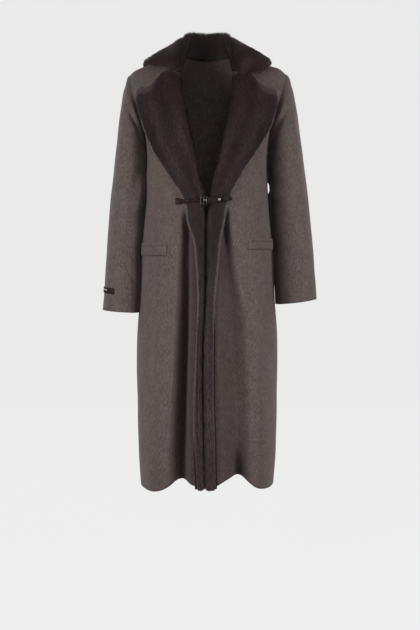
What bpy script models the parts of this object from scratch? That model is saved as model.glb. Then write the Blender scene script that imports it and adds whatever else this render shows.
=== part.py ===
"""Long wool coat with a fur collar, fur-faced lapels and a strap closure, in its worn form.

Metres, +Z up. The front faces -Y, and the wearer's right is -X. The origin is
midway between the shoulder tips, at the height where the shoulders carry the coat.
Each cloth piece is an open surface, lofted through sections, with a Solidify wall.
"""

import math

import bmesh
import bpy
import numpy as np

# Cloth, fur and leather thicknesses
WOOL_WALL = 0.0026
FUR_WALL = 0.0080
COLLAR_WALL = 0.0090
LEATHER_WALL = 0.0024
WELT_WALL = 0.0036

# Fits between pieces
SEAM_GAP = 0.0003
LAY_GAP = 0.0008
SEAM_GROOVE = 0.0012

# Main heights
HEM = -1.105
UNDERARM = -0.212
GORGE_LEVEL = 1.85
TOP_LEVEL = 2.0
CLOSURE = -0.3475

# Turned-back front edge: radius of its roll, and how far the fur reaches past the wool's roll line
ROLL_RADIUS = 0.002
ROLL_REACH = ROLL_RADIUS + WOOL_WALL + LAY_GAP + FUR_WALL
EDGE_LIFT = 0.0015
LAPEL_CROWN = 0.006
LAPEL_SLANT = 0.042
LAPEL_BOW = 0.006
STEEPEST_LAPEL = 0.85
FUR_INSET = 0.004
FUR_RETURN = 0.015
BAND_DROP = 0.007

# Shares of the full wall where a fur or welt thins out: hidden edge, outer edge, beside it, and ends
HIDDEN_SHARE = 0.4
OUTER_SHARE = 0.45
BESIDE_SHARE = 0.9
END_SHARE = 0.6

# Places across a panel, from the side seam (0) to the front edge or centre back (1)
SHOULDER_PLACES = (0, 0.016, 0.12, 0.24, 0.36, 0.47, 0.56, 0.64, 0.71, 0.77, 0.82, 0.87, 0.915, 0.955, 1)
BACK_SHOULDER_SHARE = 0.72
NECK_PLACES = (0.79, 0.86, 0.93, 1)
LAPEL_PLACES = (0, 0.17, 0.34, 0.5, 0.66, 0.83, 1)
TURN_STEPS = 4

# Rows up a panel: 0 is the hem, 1 the underarm and 2 the shoulder seam
LOWER_LEVELS = (0, 0.07, 0.15, 0.23, 0.32, 0.41, 0.50, 0.59, 0.67, 0.75, 0.8484, 0.885, 0.92, 0.96)
UPPER_LEVELS = (1, 1.05, 1.15, 1.3, 1.45, 1.6, 1.73, 1.85, 1.94, 1.97, 1.994, 2)


def table(columns, *rows):
    """A short table with named columns; its first column is the place of each row."""
    return np.array(list(rows), dtype=[(name, float) for name in columns.split()])


# Body sections below the underarm. A positive edge_drop lowers the front edge.
BODY = table(
    "height half_width front_depth back_depth edge_drop",
    (-1.105, 0.1810, 0.146, 0.138, -0.020),
    (-1.000, 0.1870, 0.147, 0.136, -0.010),
    (-0.850, 0.1890, 0.146, 0.131, 0.000),
    (-0.700, 0.1880, 0.145, 0.127, 0.000),
    (-0.600, 0.1815, 0.144, 0.123, 0.000),
    (-0.500, 0.1775, 0.142, 0.118, 0.000),
    (-0.420, 0.1710, 0.140, 0.109, 0.000),
    (-0.3475, 0.1635, 0.137, 0.102, 0.000),
    (-0.270, 0.1610, 0.132, 0.104, 0.006),
    (-0.212, 0.1600, 0.124, 0.108, 0.013),
)

# Armhole seam, from the underarm up to the shoulder tip
ARMHOLE = table(
    "level height front_x front_y back_x back_y",
    (1.00, -0.212, 0.1600, 0.000, 0.1600, 0.000),
    (1.30, -0.155, 0.1680, -0.036, 0.1720, 0.052),
    (1.60, -0.095, 0.1840, -0.040, 0.1880, 0.060),
    (1.85, -0.038, 0.2030, -0.024, 0.2050, 0.036),
    (1.94, -0.019, 0.2080, -0.009, 0.2085, 0.018),
    (1.97, -0.014, 0.2090, -0.003, 0.2091, 0.011),
    (2.00, -0.011, 0.2095, 0.004, 0.2095, 0.004),
)

# Front sections above the underarm: two points that each row bends towards, and its front edge
FRONT_YOKE = table(
    "level arm_x arm_y chest_x chest_y edge_y edge_height crown",
    (1.30, 0.160, -0.076, 0.105, -0.119, -0.112, -0.165, 0),
    (1.60, 0.166, -0.070, 0.110, -0.097, -0.089, -0.095, 0),
    (1.85, 0.172, -0.042, 0.120, -0.058, -0.058, -0.020, 0.0010),
    (1.94, 0.168, -0.014, 0.120, -0.019, -0.022, 0.033, 0.0045),
    (1.97, 0.165, -0.005, 0.120, -0.007, -0.006, 0.0415, 0.0070),
)

# Back sections above the underarm: two points that each row bends towards, and the centre back
BACK_YOKE = table(
    "level arm_x arm_y arm_z blade_x blade_y blade_z centre_y centre_z",
    (1.30, 0.166, 0.086, -0.153, 0.090, 0.111, -0.152, 0.111, -0.150),
    (1.60, 0.173, 0.087, -0.092, 0.092, 0.107, -0.088, 0.108, -0.085),
    (1.85, 0.174, 0.062, -0.024, 0.100, 0.083, -0.008, 0.088, -0.010),
    (1.94, 0.168, 0.036, 0.002, 0.095, 0.060, 0.031, 0.076, 0.022),
    (1.97, 0.165, 0.020, 0.008, 0.086, 0.050, 0.048, 0.070, 0.034),
)
NECK_POINT = (0.0740, 0.010, 0.0455)
BACK_NECK = (0.0, 0.0645, 0.0430)
SHOULDER_CROWN = 0.0035

# Visible inner edge of the rolled front, outward from the centre on the wearer's right and left
ROLL = table(
    "height right left",
    (-1.105, 0.0060, -0.0040),
    (-0.980, 0.0087, -0.0067),
    (-0.850, 0.0110, -0.0090),
    (-0.690, 0.0095, -0.0075),
    (-0.600, 0.0055, -0.0035),
    (-0.500, 0.0040, -0.0020),
    (-0.400, 0.0035, -0.0012),
    (-0.345, 0.0050, 0.0030),
    (-0.277, 0.0180, 0.0180),
    (-0.186, 0.0360, 0.0390),
    (-0.107, 0.0530, 0.0530),
    (-0.074, 0.0605, 0.0590),
    (-0.020, 0.0640, 0.0635),
    (0.050, 0.0606, 0.0606),
)

# Outer edge of the turned-back front: a narrow band below the closure, and the lapel above it
TURNBACK = table(
    "height right left",
    (-1.105, 0.0275, 0.0250),
    (-0.980, 0.0330, 0.0230),
    (-0.850, 0.0330, 0.0200),
    (-0.700, 0.0260, 0.0200),
    (-0.600, 0.0240, 0.0205),
    (-0.500, 0.0290, 0.0300),
    (-0.447, 0.0350, 0.0345),
    (-0.405, 0.0480, 0.0430),
    (-0.345, 0.0600, 0.0565),
    (-0.280, 0.0990, 0.0880),
    (-0.200, 0.1460, 0.1380),
    (-0.160, 0.1620, 0.1610),
    (-0.100, 0.1800, 0.1790),
    (-0.062, 0.1855, 0.1845),
)

# Hanging folds of the fronts. A negative side is the wearer's right, a negative depth bulges out.
FRONT_FOLDS = table(
    "side top_height top_x hem_x depth width",
    (-1, -0.360, 0.066, 0.070, 0.037, 0.021),
    (-1, -0.480, 0.125, 0.132, -0.010, 0.032),
    (1, -0.360, 0.054, 0.084, 0.033, 0.024),
    (1, -0.480, 0.132, 0.142, -0.009, 0.030),
)

# Hanging folds of the back, by the distance from the centre, positive towards the wearer's left
BACK_FOLDS = table(
    "top_height top_x hem_x depth width",
    (-0.420, -0.098, -0.112, 0.026, 0.024),
    (-0.380, -0.030, -0.036, 0.015, 0.026),
    (-0.450, 0.052, 0.060, 0.021, 0.025),
    (-0.520, 0.112, 0.124, 0.017, 0.020),
)
FOLD_RISE = 0.17
FOLD_NARROWING = 0.5

# Sleeve rings from the armhole (0) to the cuff (1): outer and inner points, depth and centre line
RIGHT_SLEEVE = table(
    "place outer_x outer_height inner_x inner_height half_depth centre_y",
    (0.00, 0.2095, -0.011, 0.1600, -0.212, 0.050, 0.008),
    (0.02, 0.2135, -0.0155, 0.1612, -0.217, 0.053, 0.008),
    (0.06, 0.2205, -0.038, 0.1632, -0.226, 0.059, 0.008),
    (0.12, 0.2275, -0.082, 0.1645, -0.244, 0.066, 0.007),
    (0.20, 0.2360, -0.150, 0.1655, -0.272, 0.071, 0.005),
    (0.32, 0.2455, -0.235, 0.1665, -0.322, 0.071, 0.000),
    (0.45, 0.2570, -0.335, 0.1720, -0.382, 0.067, -0.005),
    (0.60, 0.2640, -0.425, 0.1790, -0.452, 0.062, -0.012),
    (0.80, 0.2705, -0.527, 0.1835, -0.547, 0.056, -0.022),
    (1.00, 0.2780, -0.631, 0.1860, -0.638, 0.050, -0.030),
)
LEFT_SLEEVE = table(
    "place outer_x outer_height inner_x inner_height half_depth centre_y",
    (0.00, 0.2095, -0.011, 0.1600, -0.212, 0.050, 0.008),
    (0.02, 0.2145, -0.0150, 0.1613, -0.217, 0.053, 0.008),
    (0.06, 0.2245, -0.036, 0.1635, -0.226, 0.059, 0.008),
    (0.12, 0.2350, -0.080, 0.1655, -0.244, 0.066, 0.007),
    (0.20, 0.2450, -0.148, 0.1685, -0.270, 0.071, 0.005),
    (0.32, 0.2560, -0.230, 0.1725, -0.315, 0.071, 0.000),
    (0.45, 0.2680, -0.322, 0.1780, -0.372, 0.067, -0.005),
    (0.60, 0.2760, -0.408, 0.1840, -0.440, 0.063, -0.012),
    (0.80, 0.2840, -0.503, 0.1895, -0.528, 0.058, -0.022),
    (1.00, 0.2910, -0.602, 0.1945, -0.616, 0.052, -0.030),
)
SLEEVE_PLACES = (0, 0.01, 0.05, 0.10, 0.16, 0.24, 0.33, 0.42, 0.51, 0.60, 0.70, 0.80, 0.90, 1)
SET_IN_REACH = 0.24

# Fur collar from centre back (0) to the gorge (1): neck seam, apex of the fold, leaf edge.
# turn is the compass angle that the fold faces, lean tips its apex towards the neck.
COLLAR = table(
    "place neck_x neck_y neck_z apex_x apex_y apex_z turn lean edge_x edge_y edge_z",
    (0.00, 0.0000, 0.0650, 0.0445, 0.0000, 0.0830, 0.1040, 90, 0, 0.0000, 0.1180, 0.0080),
    (0.25, 0.0360, 0.0555, 0.0460, 0.0340, 0.0770, 0.1085, 66, 0, 0.0720, 0.1120, 0.0060),
    (0.50, 0.0660, 0.0290, 0.0470, 0.0600, 0.0450, 0.1000, 28, 0, 0.1430, 0.0680, 0.0080),
    (0.68, 0.0738, 0.0030, 0.0480, 0.0650, 0.0110, 0.0790, 0, 14, 0.1650, 0.0160, 0.0160),
    (0.84, 0.0736, -0.0235, 0.0378, 0.0640, -0.0230, 0.0430, -35, 45, 0.1650, -0.0200, 0.0130),
    (0.93, 0.0738, -0.0430, 0.0116, 0.0660, -0.0460, 0.0130, -65, 70, 0.1620, -0.0400, 0.0000),
    (1.00, 0.0745, -0.0550, -0.0125, 0.0695, -0.0610, -0.0110, -82, 84, 0.1520, -0.0520, -0.0150),
)
COLLAR_PLACES = (0.04, 0.14, 0.25, 0.36, 0.47, 0.58, 0.68, 0.77, 0.85, 0.92, 0.97, 1)
COLLAR_ROLL = 0.004
COLLAR_CROWN = 0.010
FALL_PLACES = (0.2, 0.4, 0.6, 0.8, 0.93, 1)

# Welts over the hip pockets, in from the side, and cuff tab on the right sleeve
WELTS = table(
    "side inner_x outer_x low high",
    (-1, 0.102, 0.169, -0.488, -0.455),
    (1, 0.104, 0.169, -0.472, -0.443),
)
TAB_TURN = (0.300, 0.455)
TAB_PLACES = (0.874, 0.905)
BAR_TURN = (0.392, 0.440)
BAR_PLACES = (0.886, 0.893)

# Strap closure. The distances are from the centre, positive towards the wearer's left.
# Between the fronts it keeps the depth that they have at CLOSURE_NEAR from the centre.
CLOSURE_NEAR = 0.020
PATCH = table(
    "x low high lift",
    (-0.0790, -0.3560, -0.3425, 0.0010),
    (-0.0770, -0.3575, -0.3410, 0.0010),
    (-0.0700, -0.3575, -0.3410, 0.0010),
    (-0.0632, -0.3560, -0.3435, 0.0010),
)
TAIL = table(
    "x low high lift",
    (-0.0700, -0.3515, -0.3455, 0.0040),
    (-0.0610, -0.3520, -0.3460, 0.0085),
    (-0.0540, -0.3525, -0.3475, 0.0150),
    (-0.0450, -0.3510, -0.3470, 0.0170),
    (-0.0360, -0.3505, -0.3455, 0.0172),
    (-0.0260, -0.3515, -0.3455, 0.0174),
    (-0.0170, -0.3525, -0.3455, 0.0175),
    (-0.0095, -0.3525, -0.3455, 0.0175),
)
BUCKLE_STRAP = table(
    "x low high lift",
    (-0.0010, -0.3570, -0.3400, 0.0171),
    (0.0080, -0.3570, -0.3400, 0.0171),
    (0.0180, -0.3560, -0.3395, 0.0171),
    (0.0280, -0.3545, -0.3385, 0.0171),
    (0.0350, -0.3530, -0.3380, 0.0172),
    (0.0390, -0.3500, -0.3400, 0.0172),
)
STRAP_POINT = table(
    "x low high lift",
    (0.0410, -0.3495, -0.3345, 0.0168),
    (0.0450, -0.3505, -0.3320, 0.0165),
    (0.0530, -0.3500, -0.3340, 0.0140),
    (0.0590, -0.3480, -0.3375, 0.0075),
    (0.0640, -0.3460, -0.3425, 0.0015),
)
BUCKLE_CENTRE = (-0.0085, -0.3485)
BUCKLE_LIFT = 0.0212
BUCKLE_WALL = 0.0024
BUCKLE_SIZE = (0.0170, 0.0290)
BUCKLE_BAND = 0.0028
BUCKLE_CORNER = 0.0055
STUD_PLACE = (0.0318, -0.3460)
STUD_RADIUS = 0.0028
STUD_LIFT = 0.0213

# name: colour, roughness, metallic
FINISHES = {
    "wool": ((0.115, 0.090, 0.082), 0.95, 0.0),
    "fur": ((0.032, 0.022, 0.021), 0.75, 0.0),
    "leather": ((0.022, 0.014, 0.013), 0.50, 0.0),
    "metal": ((0.160, 0.155, 0.150), 0.35, 1.0),
}


# Curves and lofts


def read(rows, column, at):
    """A column of a table at places along its first column, on a smooth curve through the rows."""
    keys = rows[rows.dtype.names[0]]
    return blend_rows(keys, rows[column], at)


def blend_rows(keys, values, at):
    """Values between rows, on a smooth curve through them all."""
    at = np.asarray(at, float)
    slopes = np.gradient(values, keys, axis=0)
    before = np.clip(np.searchsorted(keys, at, side="right") - 1, 0, len(keys) - 2)
    span = keys[before + 1] - keys[before]
    part = np.clip((at - keys[before]) / span, 0, 1)
    shape = part.shape + (1,) * (values.ndim - 1)
    part = part.reshape(shape)
    span = span.reshape(shape)
    start = (2 * part**3 - 3 * part**2 + 1) * values[before]
    leave = (part**3 - 2 * part**2 + part) * span * slopes[before]
    end = (3 * part**2 - 2 * part**3) * values[before + 1]
    arrive = (part**3 - part**2) * span * slopes[before + 1]
    return start + leave + end + arrive


def bend(start, first, second, end, along):
    """Points on a cubic curve between two ends, which leaves and arrives towards two others."""
    corners = np.array([start, first, second, end], float)
    along = np.asarray(along, float)[:, None]
    weights = np.hstack(
        [(1 - along) ** 3, 3 * (1 - along) ** 2 * along, 3 * (1 - along) * along**2, along**3]
    )
    return weights @ corners


def ease(value):
    """A soft step from 0 to 1."""
    value = np.clip(value, 0, 1)
    return value * value * (3 - 2 * value)


def unit(vector):
    return vector / np.linalg.norm(vector, axis=-1, keepdims=True)


def side_name(side):
    return "right" if side < 0 else "left"


# Body panels. Each is worked out outward from the centre, and its x is turned for the right side.


def level_of(height):
    return (height - HEM) / (UNDERARM - HEM)


def roll_line(side, height):
    """How far out the wool's own roll line lies at a height."""
    return read(ROLL, side_name(side), height) + ROLL_REACH


def front_rows(side):
    """The levels and control points of the front's sections, from the hem to the shoulder seam."""
    levels = []
    rows = []
    for row in BODY:
        height = row["height"]
        low = height - row["edge_drop"]
        edge = roll_line(side, low)
        wide = row["half_width"]
        deep = row["front_depth"]
        levels.append(level_of(height))
        rows.append(
            [
                (wide, 0, height),
                (wide, -0.62 * deep, height),
                (edge + 0.60 * (wide - edge), -1.03 * deep, low),
                (edge, -deep, low),
            ]
        )
    for row in FRONT_YOKE:
        level = row["level"]
        high = read(ARMHOLE, "height", level)
        low = row["edge_height"]
        start = (read(ARMHOLE, "front_x", level), read(ARMHOLE, "front_y", level), high)
        arm = (row["arm_x"], row["arm_y"], high + 0.33 * (low - high))
        chest = (row["chest_x"], row["chest_y"], high + 0.67 * (low - high))
        levels.append(level)
        rows.append([start, arm, chest, (roll_line(side, low), row["edge_y"], low)])
    return levels, rows


def shoulder_seam(along):
    """Points on the shoulder seam, from the tip (0) to the neck point (1)."""
    tip = np.array([read(ARMHOLE, name, TOP_LEVEL) for name in ("front_x", "front_y", "height")])
    neck = np.array(NECK_POINT)
    along = np.asarray(along, float)[:, None]
    crown = SHOULDER_CROWN * np.sin(math.pi * along) * np.array([0, 0, 1])
    return tip + (neck - tip) * along + crown


def front_surface(side, levels, places):
    """Outer surface points of a front, one row for each level."""
    keys, rows = front_rows(side)
    sections = [bend(*row, places) for row in rows]
    for section, row in zip(sections[len(BODY) :], FRONT_YOKE):
        section[:, 2] += row["crown"] * np.sin(math.pi * np.asarray(places))
    sections.append(shoulder_seam(places))
    points = blend_rows(np.array(keys + [TOP_LEVEL]), np.array(sections), levels)
    return fold_front(side, points)


def fold_share(top_height, height):
    """How far a hanging fold has opened at a height, from 0 at its top."""
    below = np.maximum(top_height - height, 0)
    return 1 - np.exp(-((below / FOLD_RISE) ** 1.5))


def fold_front(side, points):
    x, y, height = points[..., 0], points[..., 1], points[..., 2]
    for fold in FRONT_FOLDS[FRONT_FOLDS["side"] == side]:
        run = np.clip((fold["top_height"] - height) / (fold["top_height"] - HEM), 0, 1)
        centre = fold["top_x"] + (fold["hem_x"] - fold["top_x"]) * run
        width = fold["width"] * (1 - FOLD_NARROWING * (1 - run))
        shape = np.exp(-(((x - centre) / width) ** 2))
        y = y + fold["depth"] * fold_share(fold["top_height"], height) * shape
    return np.stack([x, y, height], axis=-1)


def back_surface(levels, shoulder_places, neck_places):
    """Outer surface points of half the back, with x outward."""
    places = np.concatenate([np.asarray(shoulder_places) * BACK_SHOULDER_SHARE, neck_places])
    keys = []
    sections = []
    for row in BODY:
        wide, deep, height = row["half_width"], row["back_depth"], row["height"]
        corners = [(wide, 0, height), (wide, 0.62 * deep, height), (0.56 * wide, deep, height)]
        keys.append(level_of(height))
        sections.append(bend(*corners, (0, deep, height), places))
    for row in BACK_YOKE:
        level = row["level"]
        start = [read(ARMHOLE, column, level) for column in ("back_x", "back_y", "height")]
        arm = (row["arm_x"], row["arm_y"], row["arm_z"])
        blade = (row["blade_x"], row["blade_y"], row["blade_z"])
        keys.append(level)
        sections.append(bend(start, arm, blade, (0, row["centre_y"], row["centre_z"]), places))
    round_neck = (np.asarray(neck_places) - BACK_SHOULDER_SHARE) / (1 - BACK_SHOULDER_SHARE)
    forward = (NECK_POINT[0], 0.6 * NECK_POINT[1] + 0.4 * BACK_NECK[1], NECK_POINT[2])
    behind = (0.55 * NECK_POINT[0], BACK_NECK[1], BACK_NECK[2])
    neck = bend(NECK_POINT, forward, behind, BACK_NECK, round_neck)
    keys.append(TOP_LEVEL)
    sections.append(np.vstack([shoulder_seam(shoulder_places), neck]))
    return blend_rows(np.array(keys), np.array(sections), levels)


def fold_back(points):
    x, y, height = points[..., 0], points[..., 1], points[..., 2]
    for fold in BACK_FOLDS:
        run = np.clip((fold["top_height"] - height) / (fold["top_height"] - HEM), 0, 1)
        centre = fold["top_x"] + (fold["hem_x"] - fold["top_x"]) * run
        width = fold["width"] * (1 - FOLD_NARROWING * (1 - run))
        shape = np.exp(-(((x - centre) / width) ** 2))
        y = y - fold["depth"] * fold_share(fold["top_height"], height) * shape
    return np.stack([x, y, height], axis=-1)


# A front's facets as a depth over x and z, for what lies on them

LYING_ROWS = {}


def lying_rows(side, steepest):
    """Rows of a front's outer face, from its edge outward, falling back no steeper than this."""
    if (side, steepest) not in LYING_ROWS:
        rows = front_surface(side, LOWER_LEVELS + UPPER_LEVELS, SHOULDER_PLACES)[:, ::-1].copy()
        for row in rows:
            for place in range(1, len(row)):
                reach = row[place, 0] - row[place - 1, 0]
                row[place, 1] = min(row[place, 1], row[place - 1, 1] + steepest * reach)
        beyond = rows[:, -1:] + 0.04 * np.array([1, steepest, 0])
        LYING_ROWS[side, steepest] = np.concatenate([rows, beyond], axis=1)
    return LYING_ROWS[side, steepest]


def front_at(side, x, height, steepest=20.0):
    """The point of a front's outer face at an x and a height, and its normal."""
    rows = lying_rows(side, steepest)

    def depth(at_x, at_height):
        heights = [np.interp(at_x, row[:, 0], row[:, 2]) for row in rows]
        depths = [np.interp(at_x, row[:, 0], row[:, 1]) for row in rows]
        return np.interp(at_height, heights, depths)

    step = 0.006
    across = (depth(x + step, height) - depth(x - step, height)) / (2 * step)
    upward = (depth(x, height + step) - depth(x, height - step)) / (2 * step)
    point = np.array([x, depth(x, height), height])
    return point, unit(np.array([across, -1.0, upward]))


def turnback_row(side, edge_point, distance, places, inset, inner_return, drop=0.0):
    """One row of a layer around the front's roll and out over it, to the lapel's or band's edge.

    distance is how far the layer lies from the wool's outer face. inner_return is how far
    it goes on inside the coat, and inset how far it stops short of the wool's edge.
    """
    height = edge_point[2]
    share = ease((height - CLOSURE) / (FRONT_YOKE["edge_height"][2] - CLOSURE))
    edge_height = height - LAPEL_SLANT * share
    full = read(TURNBACK, side_name(side), edge_height) - edge_point[0]
    start, outward = front_at(side, edge_point[0] + 0.004, height)
    along = unit(start - edge_point)
    row = []
    for step in inner_return:
        inner, normal = front_at(side, edge_point[0] + step, height)
        row.append(inner - normal * distance)
    centre = edge_point + outward * ROLL_RADIUS
    radius = ROLL_RADIUS + distance
    for step in range(TURN_STEPS + 1):
        angle = math.pi * (step / TURN_STEPS - 0.5)
        row.append(centre + radius * (outward * math.sin(angle) - along * math.cos(angle)))
    for place in np.array(places[1:]) * (1 - inset / full):
        x = edge_point[0] + full * place
        bow = LAPEL_BOW * share * math.sin(math.pi * place)
        at_height = height + (edge_height - height) * place + bow
        point, normal = front_at(side, x, at_height, STEEPEST_LAPEL)
        lift = 2 * ROLL_RADIUS * (1 - place) + EDGE_LIFT * place
        lift += LAPEL_CROWN * min(share * 4, 1) * math.sin(math.pi * place)
        row.append(point + normal * (lift + distance))
    row = np.array(row)
    row[:, 2] -= drop
    return row


# Objects


def clear_scene():
    for obj in list(bpy.data.objects):
        bpy.data.objects.remove(obj)


def make_material(name):
    colour, roughness, metallic = FINISHES[name]
    material = bpy.data.materials.new(name)
    material.use_nodes = True
    shader = material.node_tree.nodes["Principled BSDF"]
    shader.inputs["Base Color"].default_value = (*colour, 1)
    shader.inputs["Roughness"].default_value = roughness
    shader.inputs["Metallic"].default_value = metallic
    material.diffuse_color = (*colour, 1)
    return material


def link(obj, collection, finish):
    collection.objects.link(obj)
    material = make_material(finish)
    material.name = f"{obj.name} {finish}"
    obj.data.materials.append(material)
    return obj


def sheet(collection, name, finish, points, wall, outward=False, flip=False, tube=False, thin=None):
    """A wall through a grid of points. NaN points leave their cells out, thin is each point's share.

    Every cell is cut along the same diagonal, so that layers which lie on each other bend alike.
    """
    rows, columns = points.shape[:2]
    present = ~np.isnan(points[..., 0])
    number = np.cumsum(present.ravel()).reshape(rows, columns) - 1
    faces = []
    for i in range(rows - 1):
        for j in range(columns if tube else columns - 1):
            after = (j + 1) % columns
            corners = [(i, j), (i + 1, j), (i + 1, after), (i, after)]
            if all(present[corner] for corner in corners):
                a, b, c, d = [int(number[corner]) for corner in corners]
                for face in ((a, b, c), (a, c, d)):
                    faces.append(face[::-1] if flip else face)
    mesh = bpy.data.meshes.new(name)
    mesh.from_pydata([tuple(point) for point in points[present]], [], faces)
    mesh.update()
    mesh.shade_smooth()
    obj = link(bpy.data.objects.new(name, mesh), collection, finish)
    solidify = obj.modifiers.new("Wall", "SOLIDIFY")
    solidify.thickness = wall
    solidify.offset = 1 if outward else -1
    if thin is not None:
        group = obj.vertex_groups.new(name="wall share")
        for index, share in enumerate(thin[present]):
            group.add([index], float(share), "REPLACE")
        solidify.vertex_group = group.name
    return obj


def mirrored(points, side):
    return points * np.array([side, 1, 1])


def make_front(collection, side):
    """A front with its edge turned back: the lapel above the closure and a narrow band below."""
    levels = np.array(LOWER_LEVELS + UPPER_LEVELS)
    body = front_surface(side, levels, SHOULDER_PLACES)
    roll = body[:, -1].copy()
    body[:, 0, 0] -= SEAM_GROOVE * (levels <= 1)
    body[levels > 1, 0] += armhole_groove(body[levels > 1, 0])
    body[:, 0, 1] -= SEAM_GAP / 2 * (levels <= 1)
    body[-1] += np.array([0, -SEAM_GAP / 2, -SEAM_GROOVE])
    turned = np.full((len(levels), TURN_STEPS + len(LAPEL_PLACES) - 1, 3), np.nan)
    for i, level in enumerate(levels):
        if level <= GORGE_LEVEL:
            turned[i] = turnback_row(side, roll[i], 0.0, LAPEL_PLACES, 0.0, ())[1:]
    points = mirrored(np.concatenate([body, turned], axis=1), side)
    name = f"{side_name(side)}_front"
    sheet(collection, name, "wool", points, WOOL_WALL, flip=side < 0)
    return roll


def armhole_groove(points):
    """Moves a seam's points towards the middle of the armhole, so that both walls turn in there."""
    middle = np.array([0, 0.01, 0.5 * (UNDERARM + ARMHOLE["height"][-1])])
    towards = (middle - points) * np.array([0, 1, 1])
    return unit(towards) * SEAM_GROOVE


def make_back(collection):
    levels = np.array(LOWER_LEVELS + UPPER_LEVELS)
    half = back_surface(levels, SHOULDER_PLACES, NECK_PLACES)
    seam = len(SHOULDER_PLACES)
    half[levels <= 1, 0, 0] -= SEAM_GROOVE
    half[levels <= 1, 0, 1] += SEAM_GAP / 2
    half[levels > 1, 0] += armhole_groove(half[levels > 1, 0])
    half[-1, :seam] += np.array([0, SEAM_GAP / 2, -SEAM_GROOVE])
    whole = np.concatenate([half, mirrored(half, -1)[:, -2::-1]], axis=1)
    sheet(collection, "back", "wool", fold_back(whole), WOOL_WALL, flip=True)


def sleeve_rings(side, places, angles):
    """Rings of a sleeve, each point at an angle from the underarm round by the front."""
    rows = RIGHT_SLEEVE if side < 0 else LEFT_SLEEVE
    outer = np.stack(
        [read(rows, "outer_x", places), np.zeros(len(places)), read(rows, "outer_height", places)],
        axis=-1,
    )
    inner = np.stack(
        [read(rows, "inner_x", places), np.zeros(len(places)), read(rows, "inner_height", places)],
        axis=-1,
    )
    centre = (outer + inner) / 2
    centre[:, 1] = read(rows, "centre_y", places)
    reach = (outer - inner) / 2
    depth = read(rows, "half_depth", places)[:, None, None] * np.array([0, -1, 0])
    turn = np.asarray(angles)[None, :, None]
    return centre[:, None] - reach[:, None] * np.cos(turn) + depth * np.sin(turn)


def armhole_ring():
    """The armhole seam as a ring: up the front to the shoulder tip, and down the back."""
    front = front_surface(1, UPPER_LEVELS, (0, 1))[:, 0]
    back = back_surface(UPPER_LEVELS, (0, 1), NECK_PLACES)[:, 0]
    return np.vstack([front, back[-2:0:-1]])


def ring_angles():
    rising = math.pi * (np.array(UPPER_LEVELS) - 1)
    return np.concatenate([rising, 2 * math.pi - rising[-2:0:-1]])


def sleeve_surface(side, places, angles=None):
    """Outer surface of a sleeve, which starts on the armhole seam."""
    places = np.asarray(places, float)
    seam = armhole_ring()
    whole = ring_angles()
    offset = seam - sleeve_rings(side, np.array([0.0]), whole)[0]
    if angles is None:
        angles = whole
    else:
        wrapped = np.append(whole, 2 * math.pi)
        columns = [np.interp(angles, wrapped, np.append(part, part[0])) for part in offset.T]
        offset = np.stack(columns, axis=-1)
    share = 1 - ease(places / SET_IN_REACH)
    return sleeve_rings(side, places, angles) + offset[None] * share[:, None, None]


def make_sleeve(collection, side):
    points = sleeve_surface(side, SLEEVE_PLACES)
    points[0] += armhole_groove(points[0])
    points[0, :, 0] += 1.5 * SEAM_GAP
    name = f"{side_name(side)}_sleeve"
    sheet(collection, name, "wool", mirrored(points, side), WOOL_WALL, flip=side < 0, tube=True)


def make_facing_fur(collection, side, roll):
    """Lapel fur and band fur, which lie on the turned-back wool and wrap its roll."""
    levels = np.array(LOWER_LEVELS + UPPER_LEVELS)
    distance = WOOL_WALL + LAY_GAP
    returned = (FUR_RETURN, FUR_RETURN / 2)
    parts = {
        "band": levels <= level_of(CLOSURE) + 0.001,
        "lapel": (levels >= level_of(CLOSURE) - 0.001) & (levels <= GORGE_LEVEL),
    }
    for part, chosen in parts.items():
        rows = []
        for level, edge_point in zip(levels[chosen], roll[chosen]):
            low = BAND_DROP if level == 0 else 0.0
            row = turnback_row(side, edge_point, distance, LAPEL_PLACES, FUR_INSET, returned, low)
            rows.append(row)
        points = np.array(rows)
        if part == "band":
            points[-1, :, 2] -= SEAM_GAP
        else:
            points[0, :, 2] += SEAM_GAP
        share = np.ones(points.shape[:2])
        share[:, 0] = HIDDEN_SHARE
        share[:, -1] = OUTER_SHARE
        share[:, -2] = BESIDE_SHARE
        if part == "band":
            share[0] *= END_SHARE
        name = f"{side_name(side)}_{part}_fur"
        sheet(
            collection,
            name,
            "fur",
            mirrored(points, side),
            FUR_WALL,
            outward=True,
            flip=side > 0,
            thin=share,
        )


def collar_row(place):
    """One section of the collar: up the stand, over the fold and down the fall, on its under face."""
    row = {name: float(read(COLLAR, name, place)) for name in COLLAR.dtype.names[1:]}
    neck = np.array([row["neck_x"], row["neck_y"], row["neck_z"]])
    apex = np.array([row["apex_x"], row["apex_y"], row["apex_z"]])
    edge = np.array([row["edge_x"], row["edge_y"], row["edge_z"]])
    turn = math.radians(row["turn"])
    lean = math.radians(row["lean"])
    up = np.array([-math.sin(lean), 0, math.cos(lean)])
    facing = np.array([math.cos(turn), math.sin(turn), 0.0])
    facing = unit(facing - (facing @ up) * up)
    centre = apex - up * COLLAR_ROLL
    points = [neck, neck * 0.5 + (centre - facing * COLLAR_ROLL) * 0.5]
    for step in range(TURN_STEPS + 1):
        angle = math.pi * step / TURN_STEPS
        points.append(centre + COLLAR_ROLL * (up * math.sin(angle) - facing * math.cos(angle)))
    start = points[-1]
    for along in FALL_PLACES:
        crown = COLLAR_CROWN * math.sin(math.pi * along) * unit(facing + np.array([0, 0, 1.0]))
        points.append(start + (edge - start) * along + crown)
    return np.array(points)


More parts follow.
